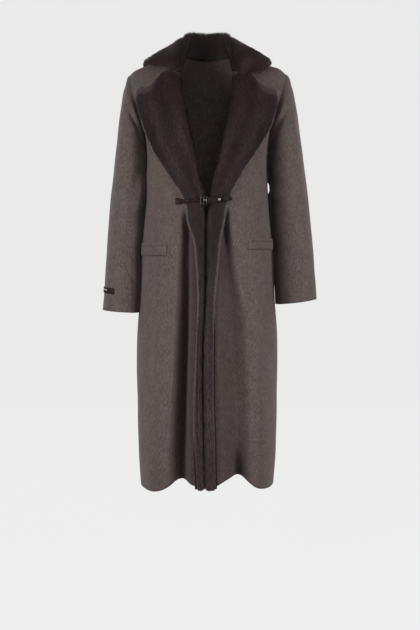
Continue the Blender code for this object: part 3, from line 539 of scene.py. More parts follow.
front = {
    "yoke": table(
        "level armX armY chestX chestY edgeY edgeHeight crown",
        (1.30, 0.160, -0.076, 0.105, -0.119, -0.112, -0.165, 0),
        (1.60, 0.166, -0.070, 0.110, -0.097, -0.089, -0.095, 0),
        (1.85, 0.172, -0.042, 0.120, -0.058, -0.058, -0.020, 0.0010),
        (1.94, 0.168, -0.014, 0.120, -0.019, -0.022, 0.033, 0.0045),
        (1.97, 0.165, -0.005, 0.120, -0.007, -0.006, 0.0415, 0.0070),
    ),
    "roll": table(  # visible inner edge of the rolled front
        "height right left",
        (-1.105, 0.0043, -0.0057),
        (-1.060, 0.0055, -0.0060),
        (-0.980, 0.0087, -0.0067),
        (-0.850, 0.0110, -0.0090),
        (-0.690, 0.0095, -0.0075),
        (-0.600, 0.0055, -0.0035),
        (-0.500, 0.0040, -0.0020),
        (-0.400, 0.0035, -0.0012),
        (-0.345, 0.0050, 0.0030),
        (-0.277, 0.0180, 0.0180),
        (-0.186, 0.0360, 0.0390),
        (-0.107, 0.0530, 0.0530),
        (-0.074, 0.0605, 0.0590),
        (-0.020, 0.0640, 0.0635),
        (0.050, 0.0606, 0.0606),
    ),
    "turnback": table(  # outer edge of the narrow band, and of the lapel above it
        "height right left",
        (-1.105, 0.0275, 0.0250),
        (-0.980, 0.0330, 0.0230),
        (-0.850, 0.0330, 0.0200),
        (-0.700, 0.0260, 0.0200),
        (-0.600, 0.0240, 0.0205),
        (-0.500, 0.0290, 0.0300),
        (-0.447, 0.0350, 0.0345),
        (-0.405, 0.0480, 0.0430),
        (-0.345, 0.0600, 0.0565),
        (-0.280, 0.0990, 0.0880),
        (-0.200, 0.1460, 0.1380),
        (-0.160, 0.1620, 0.1610),
        (-0.100, 0.1800, 0.1790),
        (-0.062, 0.1855, 0.1845),
    ),
    "folds": table(  # side -1 is the right one, and a negative depth bulges out
        "side topHeight topX hemX depth width",
        (-1, -0.360, 0.054, 0.066, 0.037, 0.021),
        (-1, -0.480, 0.125, 0.132, -0.010, 0.032),
        (1, -0.360, 0.050, 0.084, 0.026, 0.032),
        (1, -0.480, 0.132, 0.142, -0.009, 0.030),
    ),
    "pleats": {  # deeper part of the folds beside the bands: steep towards the centre, easy outward
        -1: table("height x inner outer depth",
                  (-1.105, 0.061, 0.020, 0.042, 0.016), (-0.990, 0.061, 0.018, 0.044, 0.026),
                  (-0.860, 0.0585, 0.015, 0.036, 0.030), (-0.731, 0.0535, 0.012, 0.030, 0.028),
                  (-0.602, 0.0480, 0.011, 0.024, 0.023), (-0.498, 0.0470, 0.010, 0.020, 0.018),
                  (-0.408, 0.0475, 0.008, 0.018, 0.017), (-0.375, 0.0510, 0.008, 0.016, 0.006),
                  (-0.358, 0.0550, 0.010, 0.016, 0.0)),
        1: table("height x inner outer depth",
                 (-1.105, 0.080, 0.028, 0.028, 0.023), (-1.050, 0.079, 0.030, 0.029, 0.016),
                 (-0.960, 0.080, 0.040, 0.036, 0.004), (-0.731, 0.076, 0.046, 0.036, 0.003),
                 (-0.602, 0.066, 0.034, 0.030, 0.003), (-0.498, 0.051, 0.018, 0.022, 0.007),
                 (-0.408, 0.0460, 0.012, 0.014, 0.018), (-0.375, 0.0490, 0.010, 0.012, 0.008),
                 (-0.356, 0.0505, 0.012, 0.014, 0.0)),
    },
    "topShape": {
        -1: table("at rise", (0, 0.004), (0.10, 0.010), (0.30, 0.019), (0.42, 0.018), (0.50, 0.009),
                  (0.57, 0.001), (0.72, 0.0), (0.88, 0.008), (0.96, 0.006), (1, 0)),
        1: table("at rise", (0, 0.004), (0.10, 0.010), (0.30, 0.014), (0.42, 0.007), (0.55, 0.001),
                 (0.72, 0.0), (0.88, 0.006), (0.96, 0.005), (1, 0)),
    },
    "lapelCrown": 0.006, "lapelSlant": 0.042, "lapelBow": -0.004, "steepestLapel": 0.85, "topRim": 0.018,
    "turnSteps": 8, "turnedPlaces": 24,
}
back = {
    "yoke": table(
        "level armX armY armZ bladeX bladeY bladeZ centreY centreZ",
        (1.30, 0.166, 0.086, -0.153, 0.090, 0.111, -0.152, 0.111, -0.150),
        (1.60, 0.173, 0.087, -0.092, 0.092, 0.107, -0.088, 0.108, -0.085),
        (1.85, 0.174, 0.062, -0.024, 0.100, 0.083, -0.008, 0.088, -0.010),
        (1.94, 0.168, 0.036, 0.002, 0.095, 0.060, 0.031, 0.076, 0.022),
        (1.97, 0.165, 0.020, 0.008, 0.086, 0.050, 0.048, 0.070, 0.034),
    ),
    "folds": table(  # by the distance from the centre, positive towards the left side
        "topHeight topX hemX depth width",
        (-0.420, -0.098, -0.112, 0.026, 0.024),
        (-0.380, -0.030, -0.036, 0.015, 0.026),
        (-0.450, 0.052, 0.060, 0.021, 0.025),
        (-0.520, 0.112, 0.124, 0.017, 0.020),
    ),
    "shoulderShare": 0.72, "shoulderColumns": 56, "neckColumns": 19,
}

# Creases of the fronts, by distance out from the centre and height, on each side
frontCreases = {
    -1: (
        (0.150, -0.175, 0.118, -0.300, 0.004, 0.0022, 0.008),
        (0.158, -0.215, 0.132, -0.395, -0.006, 0.0020, 0.010),
        (0.155, -0.330, 0.085, -0.352, 0.004, 0.0016, 0.007),
        (0.150, -0.372, 0.080, -0.362, -0.003, 0.0014, 0.007),
        (0.150, -0.560, 0.143, -0.900, 0.006, 0.0030, 0.016),
        (0.108, -0.620, 0.112, -1.060, -0.004, 0.0022, 0.014),
        (0.196, -0.050, 0.172, -0.150, -0.006, 0.0018, 0.008),
    ),
    1: (
        (0.150, -0.180, 0.112, -0.290, -0.004, 0.0022, 0.008),
        (0.157, -0.220, 0.138, -0.380, 0.006, 0.0020, 0.010),
        (0.154, -0.322, 0.080, -0.350, -0.004, 0.0015, 0.007),
        (0.148, -0.378, 0.088, -0.366, 0.003, 0.0014, 0.007),
        (0.158, -0.540, 0.150, -0.860, -0.006, 0.0028, 0.016),
        (0.116, -0.580, 0.121, -1.070, 0.004, 0.0020, 0.014),
        (0.195, -0.055, 0.170, -0.150, 0.006, 0.0016, 0.008),
    ),
}
backCreases = (
    (-0.165, -0.140, -0.095, -0.215, 0.006, 0.0040, 0.010),
    (-0.160, -0.195, -0.110, -0.300, -0.006, 0.0034, 0.011),
    (0.166, -0.145, 0.100, -0.205, -0.006, 0.0038, 0.010),
    (0.158, -0.200, 0.104, -0.330, 0.006, 0.0036, 0.011),
    (-0.070, -0.020, 0.060, -0.028, -0.008, 0.0024, 0.012),
    (-0.120, -0.335, -0.020, -0.352, 0.006, 0.0030, 0.009),
    (0.020, -0.372, 0.125, -0.345, 0.006, 0.0028, 0.009),
    (-0.150, -0.600, -0.140, -0.980, 0.008, 0.0046, 0.018),
    (0.150, -0.640, 0.142, -1.020, -0.008, 0.0044, 0.018),
)


def levelOf(height):
    return (height - coat["hem"]) / (coat["underarm"] - coat["hem"])


def rollLine(side, height):
    return read(front["roll"], sideName(side), height) + coat["rollReach"]


def shoulderSeam(along):
    armhole = body["armhole"]
    tip = np.array([read(armhole, name, coat["topLevel"]) for name in ("frontX", "frontY", "height")])
    along = np.asarray(along, float)[:, None]
    crown = body["shoulderCrown"] * np.sin(math.pi * along) * np.array([0, 0, 1])
    return tip + (np.array(body["neckPoint"]) - tip) * along + crown


def foldDepth(folds, x, height):
    total = 0
    for fold in folds:
        run = np.clip((fold["topHeight"] - height) / (fold["topHeight"] - coat["hem"]), 0, 1)
        centre = fold["topX"] + (fold["hemX"] - fold["topX"]) * run
        width = fold["width"] * (1 - body["foldNarrowing"] * (1 - run))
        below = np.maximum(fold["topHeight"] - height, 0)
        share = 1 - np.exp(-((below / body["foldRise"])**1.5))
        total = total + fold["depth"] * share * bell(x - centre, width)
    return total


def pleatDepth(side, x, height):
    rows = front["pleats"][side]
    centre, inner, outer, depth = (read(rows, name, height) for name in ("x", "inner", "outer", "depth"))
    off = x - centre
    part = np.clip(np.abs(off) / np.where(off < 0, inner, outer), 0, 1)
    return np.maximum(depth, 0) * (0.5 + 0.5 * np.cos(math.pi * part)) * ease((-0.356 - height) / 0.03)


def evenLevel(level):  # rows above the underarm as far apart as those below it
    return np.where(level > 1, 1 + coat["upperSpacing"] * (level - 1), level)


def rippleOf(cloth, part, side=0):
    high, size, lengthwise, seed = coat["ripple"][part]
    return high * waves(cloth, size, seed + side, lengthwise)


def frontSurface(side, levels, places):
    armhole, keys, sections = body["armhole"], [], []
    for row in body["sections"]:
        wide, deep, height = row["halfWidth"], row["frontDepth"], row["height"]
        low = height - row["edgeDrop"]
        edge = rollLine(side, low)
        outer, chest = (wide, -0.62 * deep, height), (edge + 0.60 * (wide - edge), -1.03 * deep, low)
        keys.append(levelOf(height))
        sections.append(bend((wide, 0, height), outer, chest, (edge, -deep, low), places))
    for row in front["yoke"]:
        level, low = row["level"], row["edgeHeight"]
        start = [read(armhole, name, level) for name in ("frontX", "frontY", "height")]
        arm = (row["armX"], row["armY"], start[2] + 0.33 * (low - start[2]))
        chest = (row["chestX"], row["chestY"], start[2] + 0.67 * (low - start[2]))
        section = bend(start, arm, chest, (rollLine(side, low), row["edgeY"], low), places)
        section[:, 2] += row["crown"] * np.sin(math.pi * np.asarray(places))
        keys.append(level)
        sections.append(section)
    keys.append(coat["topLevel"])
    sections.append(shoulderSeam(places))
    points = blendRows(evenLevel(np.array(keys)), np.array(sections), evenLevel(np.asarray(levels, float)))
    folds = foldDepth(front["folds"][front["folds"]["side"] == side], points[..., 0], points[..., 2])
    points[..., 1] += folds * ease(np.asarray(places, float) / 0.10)  # none at the side seam
    return points


def backSurface(levels, shoulderPlaces, neckPlaces):
    armhole, keys, sections = body["armhole"], [], []
    places = np.concatenate([np.asarray(shoulderPlaces) * back["shoulderShare"], neckPlaces])
    for row in body["sections"]:
        wide, deep, height = row["halfWidth"], row["backDepth"], row["height"]
        keys.append(levelOf(height))
        sections.append(bend((wide, 0, height), (wide, 0.62 * deep, height), (0.56 * wide, deep, height),
                             (0, deep, height), places))
    for row in back["yoke"]:
        start = [read(armhole, name, row["level"]) for name in ("backX", "backY", "height")]
        arm, blade = (row["armX"], row["armY"], row["armZ"]), (row["bladeX"], row["bladeY"], row["bladeZ"])
        keys.append(row["level"])
        sections.append(bend(start, arm, blade, (0, row["centreY"], row["centreZ"]), places))
    neck, behind = body["neckPoint"], body["backNeck"]
    roundNeck = (np.asarray(neckPlaces) - back["shoulderShare"]) / (1 - back["shoulderShare"])
    beside, inner = (neck[0], 0.6 * neck[1] + 0.4 * behind[1], neck[2]), (0.55 * neck[0], *behind[1:])
    ring = bend(neck, beside, inner, behind, roundNeck)
    keys.append(coat["topLevel"])
    sections.append(np.vstack([shoulderSeam(shoulderPlaces), ring]))
    return blendRows(evenLevel(np.array(keys)), np.array(sections), evenLevel(np.asarray(levels, float)))


# Depth of a front over x and height, for what lies on it
depthGrid = {"x": (0, 0.262), "height": (-1.132, 0.084), "step": (0.002, 0.004), "slopeOver": 0.006}
mapX = np.arange(*depthGrid["x"], depthGrid["step"][0])
mapZ = np.arange(*depthGrid["height"], depthGrid["step"][1])
depthMaps = {}


def depthMap(side, steepest):
    if (side, steepest) not in depthMaps:
        rows = frontSurface(side, np.linspace(0, 2, 261), spread(body["places"], 121))[:, ::-1].copy()
        for place in range(1, rows.shape[1]):
            reach = rows[:, place, 0] - rows[:, place - 1, 0]
            rows[:, place, 1] = np.minimum(rows[:, place, 1], rows[:, place - 1, 1] + steepest * reach)
        rows = np.concatenate([rows, rows[:, -1:] + 0.04 * np.array([1, steepest, 0])], axis=1)
        depths, heights = (np.array([np.interp(mapX, row[:, 0], row[:, axis]) for row in rows]).T
                           for axis in (1, 2))
        depthMaps[side, steepest] = np.array([np.interp(mapZ, *column) for column in zip(heights, depths)])
    return depthMaps[side, steepest]


def pick(field, i, j):  # a value between the points of a grid
    low = np.clip(np.floor(i).astype(int), 0, field.shape[0] - 2)
    left = np.clip(np.floor(j).astype(int), 0, field.shape[1] - 2)
    s, t = i - low, j - left
    if field.ndim == 3:
        s, t = s[..., None], t[..., None]
    first = field[low, left] * (1 - t) + field[low, left + 1] * t
    second = field[low + 1, left] * (1 - t) + field[low + 1, left + 1] * t
    return first * (1 - s) + second * s


def frontAt(side, x, height, steepest=20.0):
    depths = depthMap(side, steepest)
    x, height = np.broadcast_arrays(np.asarray(x, float), np.asarray(height, float))

    def depth(right, up):
        i = np.clip(x + right, mapX[0], mapX[-1]) / depthGrid["step"][0]
        return pick(depths, i, (np.clip(height + up, mapZ[0], mapZ[-1]) - mapZ[0]) / depthGrid["step"][1])

    step = depthGrid["slopeOver"]
    across = (depth(step, 0) - depth(-step, 0)) / (2 * step)
    upward = (depth(0, step) - depth(0, -step)) / (2 * step)
    point = np.stack([x, depth(0, 0), height], axis=-1)
    return point, unit(np.stack([across, -np.ones_like(across), upward], axis=-1))


# A layer round the front's roll and out over it, to the lapel's or band's edge
def turnbackRows(side, edge, distance, places, inset, returned, drop=0, lower=0):
    height = edge[:, 2]
    share = ease((height - coat["closure"]) / (front["yoke"]["edgeHeight"][2] - coat["closure"]))
    edgeHeight = height - front["lapelSlant"] * share
    full = read(front["turnback"], sideName(side), edgeHeight) - edge[:, 0]
    start, outward = frontAt(side, edge[:, 0] + 0.004, height)
    along = unit(start - edge)
    columns = []
    for step in returned:
        inner, normal = frontAt(side, edge[:, 0] + step, height)
        columns.append(inner - normal * distance)
    centre = edge + outward * coat["rollRadius"]
    radius = coat["rollRadius"] + distance
    for angle in math.pi * (np.arange(front["turnSteps"] + 1) / front["turnSteps"] - 0.5):
        columns.append(centre + radius * (outward * math.sin(angle) - along * math.cos(angle)))
    top, topPart = front["topShape"][side], ease((height + 0.095) / 0.075)
    for place in places[1:]:
        at = place * (1 - inset / full)
        bow = front["lapelBow"] * share * np.sin(math.pi * at)
        atHeight = height + (edgeHeight - height) * at + bow - lower * ease((at - 0.34) / 0.16)
        atHeight = atHeight + topPart * np.interp(at, top["at"], top["rise"])
        point, normal = frontAt(side, edge[:, 0] + full * at, atHeight, front["steepestLapel"])
        lift = 2 * coat["rollRadius"] * (1 - at) + coat["edgeLift"] * at
        lift = lift + front["lapelCrown"] * np.minimum(share * 4, 1) * np.sin(math.pi * at)
        columns.append(point + normal * (lift + distance)[:, None])
    rows = np.stack(columns, axis=1)
    rows[:, :, 2] -= np.reshape(drop, (-1, 1))
    return rows


# Draws a seam point into the armhole, deeper where the sleeve folds against the chest
def armholeDraw(seam):
    towards = unit((np.array(coat["armholeMiddle"]) - seam) * np.array([0, 1, 1]))
    fold = bell(seam[..., 2] + 0.150, 0.045) * ease(-seam[..., 1] / 0.03)
    return towards * (coat["armholeDent"] + coat["armholeFold"] * fold)[..., None]


# The shoulder tips are rounded and a little lifted. It moves whatever is there, so seams stay together.
shoulderShape = {-1: {"rise": 0.0035, "pull": 0.0060}, 1: {"rise": 0.0085, "pull": 0.0010}}


def roundShoulder(points, side):
    x, y, z = points[..., 0], points[..., 1], points[..., 2]
    shape = shoulderShape[side]
    rise = shape["rise"] * bell(x - 0.196, 0.028) * bell(z + 0.008, 0.040)
    pull = shape["pull"] * bell(x - 0.226, 0.020) * bell(z + 0.028, 0.022)
    return np.stack([x - pull, y, z + rise], axis=-1)


# The hem hangs unevenly: lower on the bulging cloth and lifted inside the folds
hemLift = {
    -1: table("x lift", (0.00, 0.002), (0.035, 0.006), (0.052, 0.0105), (0.068, 0.0135), (0.083, 0.0130),
              (0.097, 0.0065), (0.114, -0.001), (0.142, -0.0065), (0.19, 0.001)),
    1: table("x lift", (0.00, 0.000), (0.020, 0.003), (0.036, 0.012), (0.050, 0.0195), (0.065, 0.0245),
             (0.080, 0.0265), (0.095, 0.0230), (0.110, 0.0130), (0.125, 0.0040), (0.150, -0.0005),
             (0.19, 0.003)),
}


def hemLiftOf(points, side):
    start, fade = coat["hemWaves"]
    return read(hemLift[side], "lift", np.abs(points[..., 0])) * ease((start - points[..., 2]) / fade)


def seamDent(cloth, near, above):  # along the side seams and the shoulder seams
    wide = coat["seamWidth"]
    return np.maximum(bell(near, wide) * ~above, bell(reachFrom(cloth, 0, True), wide))


def panelLevels():
    lower = np.linspace(0, 1, body["lowerRows"])
    upper = np.linspace(1, coat["gorgeLevel"], body["upperRows"])[1:]
    neck = np.linspace(coat["gorgeLevel"], coat["topLevel"], body["neckRows"] + 1)[1:]
    return np.concatenate([lower, upper, neck])


# Painted shade on the cloth between the deep folds and, on the left side, in the fold by the hem. Lower down
# a dark line of painted shade runs beside each band.
lying = {
    -1: {"upper": 0.95, "shade": 0.85, "hem": 0.0, "line": -0.94, "paleWidth": 0.0048, "lowerPale": 0.9},
    1: {"upper": 1.0, "shade": 0.60, "hem": 0.5, "line": -0.60, "paleWidth": 0.007, "lowerPale": 1.8},
}


def lyingShade(side, cloth):
    x, height = cloth[..., 0], cloth[..., 2]
    rows, look = front["pleats"][side], lying[side]
    far = read(rows, "x", height) + (0.004 if side < 0 else 0.002 + 0.012 * ease((-0.52 - height) / 0.12))
    shade = look["shade"] + (look["upper"] - look["shade"]) * ease((height + 0.62) / 0.14)
    shade = shade * ease((-0.385 - height) / 0.045) * (1 - ease((x - far) / 0.022))
    inFold = bell(x - read(rows, "x", height) - 0.006, 0.018) * ease((-0.98 - height) / 0.09)
    return -(shade + look["hem"] * inFold) * (x > read(front["turnback"], sideName(side), height) - 0.002)


def makeFront(side):
    levels = panelLevels()
    cloth = frontSurface(side, levels, spread(body["places"], body["columns"]))
    edge = cloth[:, -1].copy()
    free = ease(reachFrom(cloth, 1, True) / 0.05)  # the turned-back edge stays as it is
    cloth[..., 1] += pleatDepth(side, cloth[..., 0], cloth[..., 2]) * ease(reachFrom(cloth, 1, True) / 0.020)
    normal = normalsOf(cloth)
    normal *= -np.sign(normal[:, -2:, 1]).mean()  # outward
    crease = creaseHeight(cloth[..., 0], cloth[..., 2], frontCreases[side]) * free
    ripple = rippleOf(cloth, "front", side) * free
    above, near = (levels > 1)[:, None], reachFrom(cloth, 1)
    dent = coat["seamDent"] * seamDent(cloth, near, above)
    draw = armholeDraw(cloth[:, :1]) * (above * bell(near, coat["armholeWidth"]))[..., None]
    cloth = cloth + normal * ((crease + ripple) * ease(near / 0.02) - dent)[..., None] + draw
    # painted shade between the deep folds and in the fold by the hem
    tone = lyingShade(side, cloth)
    cloth = roundShoulder(cloth, side)
    cloth[..., 2] += hemLiftOf(cloth, side)
    layer = turnbackRows(side, edge, 0.0, np.linspace(0, 1, front["turnedPlaces"]), 0.0, ())[:, 1:]
    layer[levels > coat["gorgeLevel"] + 1e-6] = np.nan
    border, low = reachFrom(np.nan_to_num(layer), 1, True), np.nan_to_num(layer[..., 2])
    look = lying[side]
    # painted highlight along the outer edge of the turned layer, a dark line of painted shade there lower
    # down, and painted shade over the rest of the layer
    pale = 1.8 + (look["lowerPale"] - 1.8) * ease((-0.56 - low) / 0.12) - 0.8 * bell(low + 0.425, 0.05)
    dark = 4.0 * ease((look["line"] - low) / 0.10) * bell(border, 0.0030)
    rim = np.concatenate([tone, pale * bell(border, look["paleWidth"]) - dark - 1], axis=1)
    grid = turned(np.concatenate([cloth, layer], axis=1), side)
    woolSheet(sideName(side) + "FrontWool", sideName(side) + "_front", grid, rim, side < 0)
    return edge, levels


def makeBack():
    levels = panelLevels()
    neck = np.linspace(back["shoulderShare"], 1, back["neckColumns"] + 1)[1:]
    half = backSurface(levels, spread(body["places"], back["shoulderColumns"]), neck)
    cloth = np.concatenate([half, turned(half, -1)[:, -2::-1]], axis=1)
    cloth[..., 1] -= foldDepth(back["folds"], cloth[..., 0], cloth[..., 2])
    middle = cloth.shape[1] // 2
    normal = normalsOf(cloth)
    normal *= np.sign(normal[:, middle, 1]).mean()
    crease = creaseHeight(cloth[..., 0], cloth[..., 2], backCreases)
    ripple = rippleOf(cloth, "back")
    above, near = (levels > 1)[:, None], fromBorders(cloth, 1)
    centre = bell(cloth[..., 0], 0.003) * 0.6  # centre back seam
    dent = coat["seamDent"] * np.maximum(seamDent(cloth, near, above), centre)
    draw = np.concatenate([np.repeat(armholeDraw(cloth[:, :1]), middle, axis=1),
                           np.repeat(armholeDraw(cloth[:, -1:]), cloth.shape[1] - middle, axis=1)], axis=1)
    draw = draw * (above * bell(near, coat["armholeWidth"]))[..., None]
    cloth = cloth + normal * ((crease + ripple) * ease(near / 0.02) - dent)[..., None] + draw
    for part, side, seam in ((slice(0, middle), 1, 0), (slice(middle, None), -1, -1)):
        cloth[:, part] = turned(roundShoulder(turned(cloth[:, part], side), side), side)
        lift = hemLiftOf(cloth[:, seam], side)  # as the front beside it
        cloth[:, part, 2] += lift[:, None] * bell(near[:, part], 0.05)
    woolSheet("backWool", "back", cloth, np.zeros(near.shape), True)


makeBack()
fronts = {side: makeFront(side) for side in (-1, 1)}
print("body panels ready")


sleeves = {
    -1: table(
        "place outerX outerHeight innerX innerHeight halfDepth centreY",
        (0.00, 0.2095, -0.011, 0.1600, -0.212, 0.050, 0.008),
        (0.02, 0.2135, -0.0155, 0.1612, -0.217, 0.053, 0.008),
        (0.06, 0.2205, -0.038, 0.1632, -0.226, 0.059, 0.008),
        (0.12, 0.2275, -0.082, 0.1645, -0.244, 0.066, 0.007),
        (0.20, 0.2360, -0.150, 0.1655, -0.272, 0.071, 0.005),
        (0.32, 0.2455, -0.235, 0.1665, -0.322, 0.071, 0.000),
        (0.45, 0.2570, -0.335, 0.1720, -0.382, 0.067, -0.005),
        (0.60, 0.2640, -0.425, 0.1790, -0.452, 0.062, -0.012),
        (0.80, 0.2705, -0.527, 0.1835, -0.547, 0.056, -0.022),
        (1.00, 0.2780, -0.631, 0.1860, -0.638, 0.050, -0.030),
    ),
    1: table(
        "place outerX outerHeight innerX innerHeight halfDepth centreY",
        (0.00, 0.2095, -0.011, 0.1600, -0.212, 0.050, 0.008),
        (0.02, 0.2145, -0.0150, 0.1613, -0.217, 0.053, 0.008),
        (0.06, 0.2245, -0.036, 0.1635, -0.226, 0.059, 0.008),
        (0.12, 0.2350, -0.080, 0.1655, -0.244, 0.066, 0.007),
        (0.20, 0.2450, -0.148, 0.1685, -0.270, 0.071, 0.005),
        (0.32, 0.2560, -0.230, 0.1725, -0.315, 0.071, 0.000),
        (0.45, 0.2680, -0.322, 0.1780, -0.372, 0.067, -0.005),
        (0.60, 0.2760, -0.408, 0.1840, -0.440, 0.063, -0.012),
        (0.80, 0.2840, -0.503, 0.1895, -0.528, 0.058, -0.022),
        (1.00, 0.2910, -0.602, 0.1945, -0.616, 0.052, -0.030),
    ),
    "rows": 121, "columns": 84, "setInReach": 0.24, "around": 0.44, "cap": 0.0018,
    "frontFull": {-1: 0.008, 1: 0.003}, "behindAt": (-0.85, 0.55), "bodyGap": 0.0012,
    "shade": {-1: (-2.0, 0.42), 1: (-2.3, 0.95)},  # depth and width of painted shade, where the cloth lies against the body
}

# Creases of the sleeves, by turn round the sleeve and distance down it, both in metres.
# Turn 0 is the underarm, 0.11 the front, 0.22 the outer side and 0.33 the back.
sleeveCreases = {
    -1: (
        (0.168, 0.050, 0.052, 0.014, 0.006, 0.0075, 0.011),
        (0.030, 0.060, 0.085, 0.190, -0.006, 0.0034, 0.012),
        (0.020, 0.130, 0.070, 0.250, 0.008, 0.0026, 0.011),
        (0.035, 0.330, 0.120, 0.365, -0.008, 0.0020, 0.010),
        (0.030, 0.390, 0.105, 0.372, 0.006, 0.0018, 0.009),
        (0.060, 0.300, 0.052, 0.560, 0.006, 0.0024, 0.014),
        (0.290, 0.300, 0.400, 0.330, 0.010, 0.0026, 0.012),
        (0.300, 0.360, 0.390, 0.350, -0.008, 0.0022, 0.011),
        (0.310, 0.090, 0.360, 0.230, 0.006, 0.0028, 0.012),
    ),
    1: (
        (0.172, 0.052, 0.052, 0.012, 0.006, 0.0065, 0.012),
        (0.030, 0.055, 0.090, 0.180, 0.006, 0.0030, 0.012),
        (0.024, 0.140, 0.080, 0.270, -0.008, 0.0026, 0.011),
        (0.040, 0.300, 0.120, 0.330, 0.008, 0.0020, 0.010),
        (0.052, 0.380, 0.060, 0.600, -0.004, 0.0042, 0.012),
        (0.300, 0.300, 0.400, 0.325, -0.010, 0.0026, 0.012),
        (0.310, 0.350, 0.390, 0.345, 0.008, 0.0022, 0.011),
        (0.315, 0.100, 0.365, 0.240, -0.006, 0.0028, 0.012),
    ),
}


def sleeveRings(side, places, angles):
    outerX, outerZ, innerX, innerZ, deep, centreY = (
        read(sleeves[side], name, places)[:, None] for name in sleeves[side].dtype.names[1:])
    across, ahead = np.cos(angles)[None], np.sin(angles)[None]
    x = (outerX + innerX) / 2 - (outerX - innerX) / 2 * across
    z = (outerZ + innerZ) / 2 - (outerZ - innerZ) / 2 * across
    return np.stack([x, centreY - deep * ahead, z], axis=-1)


def sleeveSurface(side, places, angles):
    places = np.asarray(places, float)
    rising = np.linspace(1, 2, sleeves["columns"] // 2 + 1)
    seam = np.vstack([frontSurface(1, rising, (0, 1))[:, 0],
                      backSurface(rising, (0, 1), np.array([0.79, 1.0]))[:, 0][-2:0:-1]])
    whole = np.linspace(0, 2 * math.pi, sleeves["columns"] + 1)
    offset = seam - sleeveRings(side, np.array([0.0]), whole[:-1])[0]
    offset = np.vstack([offset, offset[:1]])
    turns = np.asarray(angles) % (2 * math.pi)
    offset = np.stack([np.interp(turns, whole, axis) for axis in offset.T], axis=-1)
    share = 1 - ease(places / sleeves["setInReach"])
    return sleeveRings(side, places, angles) + offset[None] * share[:, None, None]


# Half width of the body over depth and height, which the sleeve's inner side is pressed against
def bodySide(y, height):
    rows = np.linspace(0, 1, 61)
    heights = np.interp(rows, levelOf(body["sections"]["height"]), body["sections"]["height"])
    depths = np.linspace(-0.09, 0.09, 61)
    frontRows = frontSurface(1, rows, np.linspace(0, 0.6, 40))
    backRows = backSurface(rows, np.linspace(0, 0.8, 40), np.array([0.9, 1.0]))[:, :40]
    lines = np.concatenate([frontRows[:, ::-1], backRows[:, 1:]], axis=1)
    wide = np.array([np.interp(depths, line[:, 1], line[:, 0]) for line in lines])
    return pick(wide, np.interp(height, heights, np.arange(61)), np.clip((y + 0.09) / 0.003, 0, 60))


# How far the sleeve is let in towards the body, on its inner side and behind it, by height
sleevePress = {
    -1: table("height side behind", (-0.66, 0.0050, 0.002), (-0.56, 0.0068, 0.004), (-0.50, 0.0062, 0.008),
              (-0.46, 0.0062, 0.014), (-0.38, 0.0058, 0.020), (-0.28, 0.0060, 0.020), (-0.240, 0.0058, 0.012),
              (-0.224, 0.0045, 0.006), (-0.212, 0, 0)),
    1: table("height side behind", (-0.66, 0.0090, 0.004), (-0.60, 0.0130, 0.008), (-0.55, 0.0130, 0.012),
             (-0.47, 0.0115, 0.016), (-0.42, 0.0110, 0.020), (-0.36, 0.0105, 0.020), (-0.327, 0.0100, 0.014),
             (-0.314, 0.0048, 0.002), (-0.298, 0.0046, 0.002), (-0.284, 0.0090, 0.014),
             (-0.27, 0.0090, 0.020), (-0.240, 0.0085, 0.012), (-0.224, 0.0080, 0.008),
             (-0.217, 0.0050, 0.003), (-0.212, 0, 0)),
}


def pressSleeve(cloth, side, angles):
    inner = np.clip(np.cos(angles), 0, 1)[None, :]**1.5
    turn, wide = sleeves["behindAt"]
    behind = bell(angles - 2 * math.pi - turn, wide)[None, :]
    x, y, z = np.moveaxis(cloth, -1, 0)
    press = sleevePress[side]
    let = np.interp(z, press["height"], press["side"]) * inner
    let = let + np.interp(z, press["height"], press["behind"]) * behind
    limit = bodySide(y, z) + sleeves["bodyGap"]
    cloth[..., 0] = np.where(let > 1e-5, np.maximum(x - let, np.minimum(limit, x)), x)
    return cloth


def makeSleeve(side):
    places = np.linspace(0, 1, sleeves["rows"])**1.08
    angles = np.linspace(0, 2 * math.pi, sleeves["columns"], endpoint=False)
    cloth = sleeveSurface(side, places, angles)
    normal = normalsOf(cloth, tube=True)
    outward = cloth - cloth.mean(axis=1, keepdims=True)
    normal *= np.sign((outward * normal).sum(axis=-1).mean())
    down = reachFrom(cloth, 0)
    turn = np.broadcast_to(angles / (2 * math.pi) * sleeves["around"], down.shape)
    crease = creaseHeight(turn, down, sleeveCreases[side]) * ease(down / 0.03)
    ripple = rippleOf(cloth, "sleeve", side) * ease(down / 0.03)
    cap = sleeves["cap"] * bell(down - 0.016, 0.010)  # fullness eased in beside the armhole seam
    draw = armholeDraw(cloth[:1]) * bell(down, coat["armholeWidth"])[..., None]
    cloth = cloth + normal * (crease + ripple + cap)[..., None] + draw
    full = sleeves["frontFull"][side] * bell(angles - 0.62, 0.36)
    cloth[..., 1] -= full * ease((-0.20 - cloth[..., 2]) / 0.10)
    cloth = roundShoulder(pressSleeve(cloth, side, angles), side)
    # painted shade on the inner side, where the sleeve lies against the body
    deep, wide = sleeves["shade"][side]
    close = bell(np.minimum(angles, 2 * math.pi - angles), wide) * ease((cloth[..., 2] + 0.68) / 0.06)
    rim = deep * close * ease(down / 0.03)
    name = sideName(side)
    woolSheet(name + "SleeveWool", name + "_sleeve", turned(cloth, side), rim, side < 0, tube=True)


for side in (-1, 1):
    makeSleeve(side)
print("sleeves ready")


